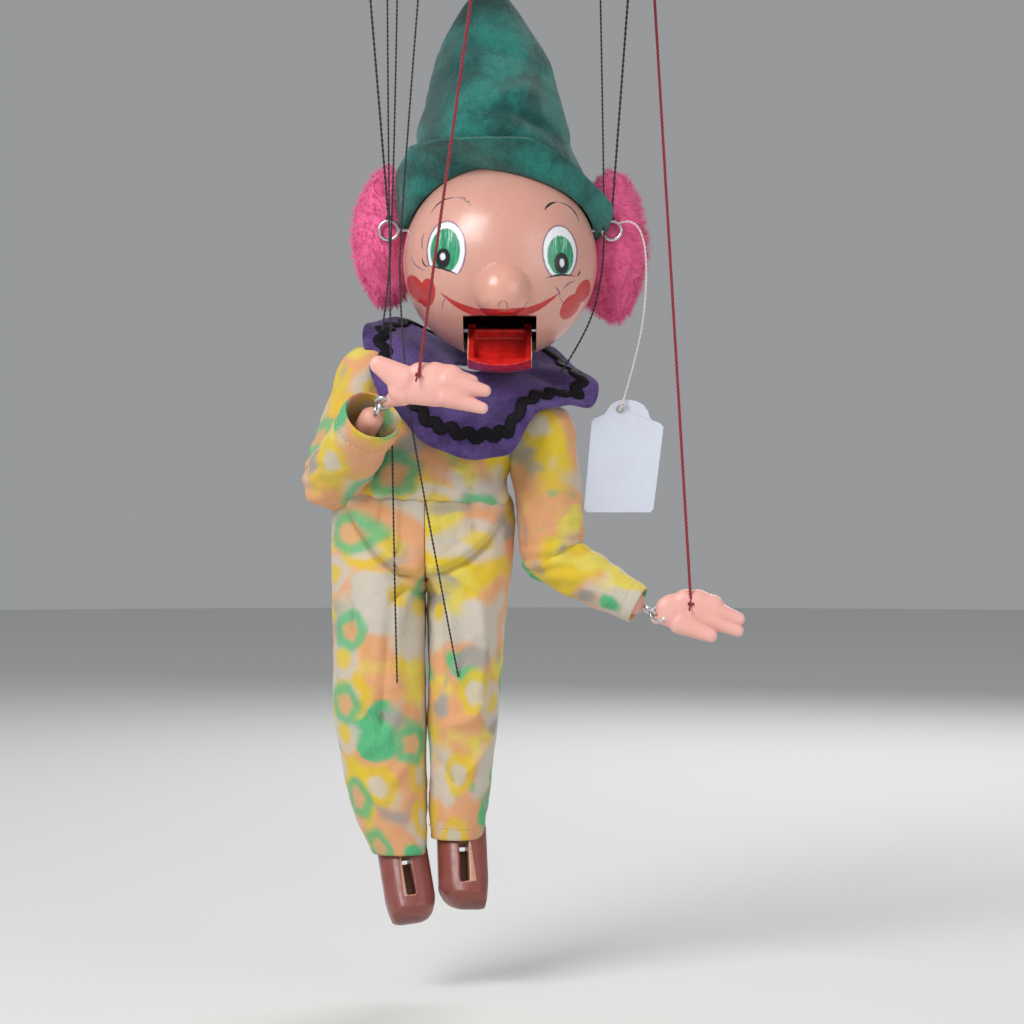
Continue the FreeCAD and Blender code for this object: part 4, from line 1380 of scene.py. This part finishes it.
# ---- hands ----
def blob(work, a, ra, b, rb, flat=1.0):
    """A closed tapered capsule between two points in millimetres, squeezed along y by flat."""
    a, b = Vector(a), Vector(b)
    way = (b - a).normalized() if (b - a).length > 1e-6 else Vector((1, 0, 0))
    side = way.cross(Vector((0, 1, 0))).normalized()
    front = way.cross(side).normalized()
    rings, sides, made = 9, 28, []
    for end, centre, r in ((0, a, ra), (1, b, rb)):
        for k in range(rings):
            up = (math.pi / 2) * ((k + 0.5) / rings if end == 0 else 1 - (k + 0.5) / rings)
            lift = -math.cos(up) if end == 0 else math.cos(up)
            ring = []
            for t in circle(sides):
                out = (side * math.cos(t) + front * (math.sin(t) * flat)) * (r * math.sin(up))
                ring.append(work.verts.new((centre + way * (r * lift) + out) * MM))
            made.append(ring)
    for i in range(len(made) - 1):
        for j in range(sides):
            k = (j + 1) % sides
            work.faces.new((made[i][j], made[i][k], made[i + 1][k], made[i + 1][j]))
    work.faces.new(tuple(reversed(made[0])))
    work.faces.new(tuple(made[-1]))
    bmesh.ops.recalc_face_normals(work, faces=work.faces)


# Each part of a hand: from, radius, to, radius, and its flatness through the palm.
HAND_SHAPES = {
    "r": [((-41.6, -43.5, -188.0), 2.0, (-36.0, -47.5, -185.5), 4.4, 0.8),
          ((-44.4, -48.4, -174.2), 3.5, (-35.0, -48.4, -180.0), 6.0, 0.62),
          ((-35.0, -48.4, -182.6), 6.2, (-24.0, -48.6, -181.6), 8.6, 0.46),
          ((-29.0, -48.6, -178.4), 5.2, (-18.0, -48.8, -180.0), 6.0, 0.62),
          ((-22.0, -48.8, -181.6), 7.6, (-15.5, -49.2, -183.2), 6.8, 0.5),
          ((-19.0, -49.0, -180.6), 4.6, (-4.9, -50.4, -184.0), 2.35, 0.92),
          ((-20.0, -47.6, -177.4), 3.6, (-9.5, -48.4, -180.3), 2.2, 0.92),
          ((-20.0, -49.0, -186.0), 4.2, (-5.9, -49.8, -190.4), 2.25, 0.92)],
    "l": [((60.4, -11.0, -270.2), 2.0, (66.0, -11.0, -268.4), 4.6, 0.8),
          ((66.5, -11.0, -267.0), 6.4, (76.0, -11.0, -266.6), 8.0, 0.48),
          ((72.0, -11.0, -263.5), 5.0, (82.0, -11.2, -266.0), 5.4, 0.66),
          ((76.0, -11.0, -267.0), 7.2, (84.0, -11.6, -269.6), 5.6, 0.58),
          ((80.0, -11.2, -265.6), 4.2, (92.6, -13.4, -270.0), 2.3, 0.92),
          ((80.5, -11.4, -269.4), 4.2, (92.0, -13.0, -274.6), 2.4, 0.92),
          ((70.0, -11.6, -271.6), 4.6, (81.4, -14.2, -276.4), 2.7, 0.85)],
}


def moulded(name, shapes):
    """One skin round several blobs."""
    def fill(work):
        for shape in shapes:
            blob(work, *shape)
    piece = evened(solid_mesh(name, fill), 0.42, 0.6, 10)
    piece.data.shade_smooth()
    return piece


def hands():
    paint = Paint("hand_paint", (0.72, 0.36, 0.31), 0.42)
    broad = paint.noise(90.0, 3.0)
    wear = paint.noise(420.0, 5.0, rough=0.7)
    # Lighter on rounded ridges and darker in the hollows between the fingers: painted highlight and painted
    # shade.
    edge = paint.node("ShaderNodeNewGeometry").outputs["Pointiness"]
    paint.colour(paint.layered(
        (0.85, 0.44, 0.38), (paint.spread(broad, 0.35, 0.7, 0, 0.5), (0.78, 0.36, 0.3)),
        (paint.spread(edge, 0.505, 0.53, 0, 0.35), (0.9, 0.56, 0.5)),
        (paint.spread(edge, 0.495, 0.47, 0, 0.5), (0.52, 0.17, 0.14)),
        (paint.spread(wear, 0.66, 0.8, 0, 0.3), (0.9, 0.62, 0.55))))
    paint.rough(paint.spread(wear, 0.3, 0.7, 0.36, 0.5))
    paint.bump(paint.noise(260.0, 3.0), 0.0002, 0.4)
    for side in SIDES:
        piece = moulded("hand_moulded_" + side, HAND_SHAPES[side])
        finish_piece(piece, paint, "hand_" + side, ("hand_" + side,))


# ---- feet ----
TOE = {"r": mm(-33.8, -11, -387.0), "l": mm(-10.4, -9, -381.5)}


def foot_frame(side):
    """The foot's side, front and heel-to-ankle directions, read from the CAD ankle's axis."""
    up = (ANKLE[side] - TOE[side]).normalized()
    across = Vector(joint_named("ankle_" + side)["axis"])
    if across.x < 0:
        across = -across
    across = (across - up * across.dot(up)).normalized()
    return across, across.cross(up).normalized(), up


def feet():
    for side in SIDES:
        across, depth, up = foot_frame(side)
        front = depth if depth.y < 0 else -depth
        length = (ANKLE[side] - TOE[side]).length / MM
        node = frame["nodes"]["foot_" + side]
        bpy.context.view_layer.update()
        data = node.data.copy()
        data.transform(node.matrix_world)
        piece = evened(linked("foot_carved_" + side, data), 0.36, 0.6, 7)
        for vertex in piece.data.vertices:
            q = (vertex.co - ANKLE[side]) / MM
            x, n, h = q.dot(across), q.dot(front), q.dot(up)
            share = clamp((n + 4) / 12)
            dome = 3.0 * (x / 9.6) ** 2 * share
            toe = max(0.0, 1 - (h + length) / 11)
            x2 = x * (1 - 0.16 * toe ** 2)
            h2 = h + 2.6 * toe * (x / 9.6) ** 4
            vertex.co = ANKLE[side] + (across * x2 + front * (n - dome) + up * h2) * MM
        piece.data.shade_smooth()
        paint = Paint("foot_paint_" + side, (0.22, 0.055, 0.04), 0.38, Coat_Weight=0.15)
        place = paint.vector("SUBTRACT", paint.place, tuple(ANKLE[side]))
        x = paint.vector("DOT_PRODUCT", place, tuple(across))
        n = paint.vector("DOT_PRODUCT", place, tuple(front))
        h = paint.vector("DOT_PRODUCT", place, tuple(up))
        inside = paint.spread(paint.math("ABSOLUTE", x), 2.35 * MM, 2.05 * MM)
        inside = paint.times(inside, paint.spread(h, -20.8 * MM, -20.2 * MM))
        broad = paint.noise(60.0, 3.0)
        brush = paint.noise(1.0, 4.0, paint.scaled(paint.place, 420.0, 420.0, 90.0), 0.65)
        chips = paint.noise(330.0, 5.0, rough=0.75)
        # The flat end of the toe is painted darker: painted shade on its end face.
        toe = paint.spread(h, (-length + 1.2) * MM, (-length + 0.4) * MM)
        bare = paint.mix(paint.noise(900.0, 3.0), (0.62, 0.36, 0.24), (0.42, 0.2, 0.12))
        paint.colour(paint.layered(
            (0.235, 0.058, 0.042), (paint.spread(broad, 0.35, 0.7, 0, 0.55), (0.29, 0.09, 0.09)),
            (paint.spread(brush, 0.5, 0.75, 0, 0.45), (0.15, 0.032, 0.024)),
            (paint.spread(chips, 0.7, 0.78, 0, 0.5), (0.4, 0.16, 0.12)),
            (paint.times(toe, 0.55), (0.09, 0.022, 0.018)), (inside, bare)))
        paint.rough(paint.spread(chips, 0.3, 0.7, 0.3, 0.48))
        paint.bump(brush, 0.00025, 0.5)
        finish_piece(piece, paint, "foot_" + side, ("foot_" + side,))


# ---- the swing tag ----
def tag():
    """A card with scalloped shoulders and a punched hole, a little curled."""
    base, y = Vector((48.0, 0, -229.0)), -3.0
    corner = [(-15.0, 1.2), (-13.8, 0.0), (10.8, 0.0), (12.0, 1.2), (15.6, 30.0), (15.9, 33.2), (14.6, 34.6),
              (12.4, 35.2), (10.8, 36.6), (9.9, 39.4), (8.2, 41.8), (5.6, 43.2), (1.8, 43.9), (-1.8, 43.4),
              (-4.2, 42.0), (-5.8, 39.8), (-7.0, 38.0), (-9.0, 37.0), (-11.2, 36.4), (-12.0, 34.6)]
    middle = Vector((-1.0, 40.0))
    points, edge, rows = [], [], 14
    for k, (x, z) in enumerate(corner):
        ahead = corner[(k + 1) % len(corner)]
        for f in (0, 0.25, 0.5, 0.75):
            edge.append(Vector((x + (ahead[0] - x) * f, z + (ahead[1] - z) * f)))
    count = len(edge)
    for i in range(rows + 1):
        for e in edge:
            way = (e - middle).normalized()
            q = (middle + way * 1.6).lerp(e, i / rows)
            curl = 0.9 * ((q.x - 0.5) / 15) ** 2 + 0.5 * math.sin(q.y * 0.09 + 0.4)
            points.append(mm(base.x + q.x, y - curl + 0.2, base.z + q.y))
    faces = ring_faces(rows + 1, count)
    card = new_object("swing_card", points, faces)
    thicken(card, 0.45 * MM, 0.0)
    card.data.shade_smooth()
    card.data.set_sharp_from_angle(angle=math.radians(40))
    paint = Paint("tag_card", (0.62, 0.66, 0.76), 0.5, Coat_Weight=0.1)
    pulp = paint.noise(1500.0, 4.0)
    stain = paint.noise(70.0, 3.0)
    paint.colour(paint.layered((0.62, 0.66, 0.76), (paint.spread(pulp, 0.4, 0.7, 0, 0.3), (0.54, 0.58, 0.68)),
                               (paint.spread(stain, 0.5, 0.75, 0, 0.3), (0.56, 0.57, 0.6))))
    paint.bump(pulp, 0.00005, 0.5)
    finish_piece(card, paint, "tag", ("tag",))
    line = [HEAD + EAR + mm(2.6, -1.2, 2.6), mm(52.5, -0.5, -114), mm(57.6, -1.5, -125), mm(57, -3, -150),
            mm(53, -3, -170), mm(48.2, -4.2, -186)]
    cotton = string_paint("tag_cotton", (0.8, 0.74, 0.7), (0.6, 0.52, 0.5))
    string("tag_thread", line, 0.8 * MM, cotton, "tag_cotton", body="tag", lay="hanging", with_pieces=[card])
    knot("tag_knot", line[-1] + mm(0, -0.3, -0.8), 1.0 * MM, cotton, "tag", 4)


# ---- wood and wire ----
def wood_and_wire():
    control = wood_paint("control_wood", (0.3, 0.055, 0.04), (0.2, 0.03, 0.024), 1, 0.4)
    repaint(control, "main_bar", "head_bar", "leg_bar")
    repaint(wood_paint("peg_wood", (0.6, 0.42, 0.24), (0.44, 0.27, 0.13), 2), "bar_pegs")
    pale = wood_paint("body_wood", (0.66, 0.47, 0.28), (0.5, 0.31, 0.16), 2)
    woods = ["chest_block", "pelvis_block"]
    for side in SIDES:
        woods += ["upper_arm_" + side, "thigh_" + side, "shin_" + side]
    repaint(pale, *woods)
    pink = Paint("forearm_pink", (0.72, 0.34, 0.27), 0.48)
    worn = pink.noise(330.0, 5.0, rough=0.7)
    pink.colour(pink.layered((0.74, 0.36, 0.29), (pink.spread(worn, 0.5, 0.75, 0, 0.5), (0.6, 0.24, 0.18))))
    pink.bump(worn, 0.0001, 0.4)
    repaint(pink, "forearm_r", "forearm_l")
    steel = Paint("wire", (0.62, 0.62, 0.64), 0.26, Metallic=1.0)
    drawn = steel.noise(1.0, 3.0, steel.scaled(steel.place, 3000.0, 3000.0, 900.0))
    dull = steel.noise(600.0, 4.0)
    steel.colour(steel.mix(steel.spread(dull, 0.45, 0.75, 0, 0.6), (0.68, 0.68, 0.7), (0.36, 0.34, 0.33)))
    steel.rough(steel.spread(dull, 0.3, 0.7, 0.18, 0.4)).bump(drawn, 0.00003, 0.4)
    wires = ["head_eyes", "jaw_pin", "torso_eyes", "neck_hook", "pelvis_eyes"]
    for side in SIDES:
        wires += [n + side for n in ("arm_eye_", "elbow_pin_", "wrist_staple_", "hand_eye_", "thigh_eye_",
                                     "knee_pin_", "ankle_pin_")]
    repaint(steel, *wires)


camera()
stage()
strings()
head()
jaw()
hat()
hair()
ruff()
thread = Paint("sewing_thread", (0.78, 0.62, 0.4), 0.8)
cotton = print_paint()
trousers(cotton, thread)
bodice(cotton)
sleeves(cotton, thread)
hands()
feet()
tag()
wood_and_wire()
bpy.context.view_layer.update()
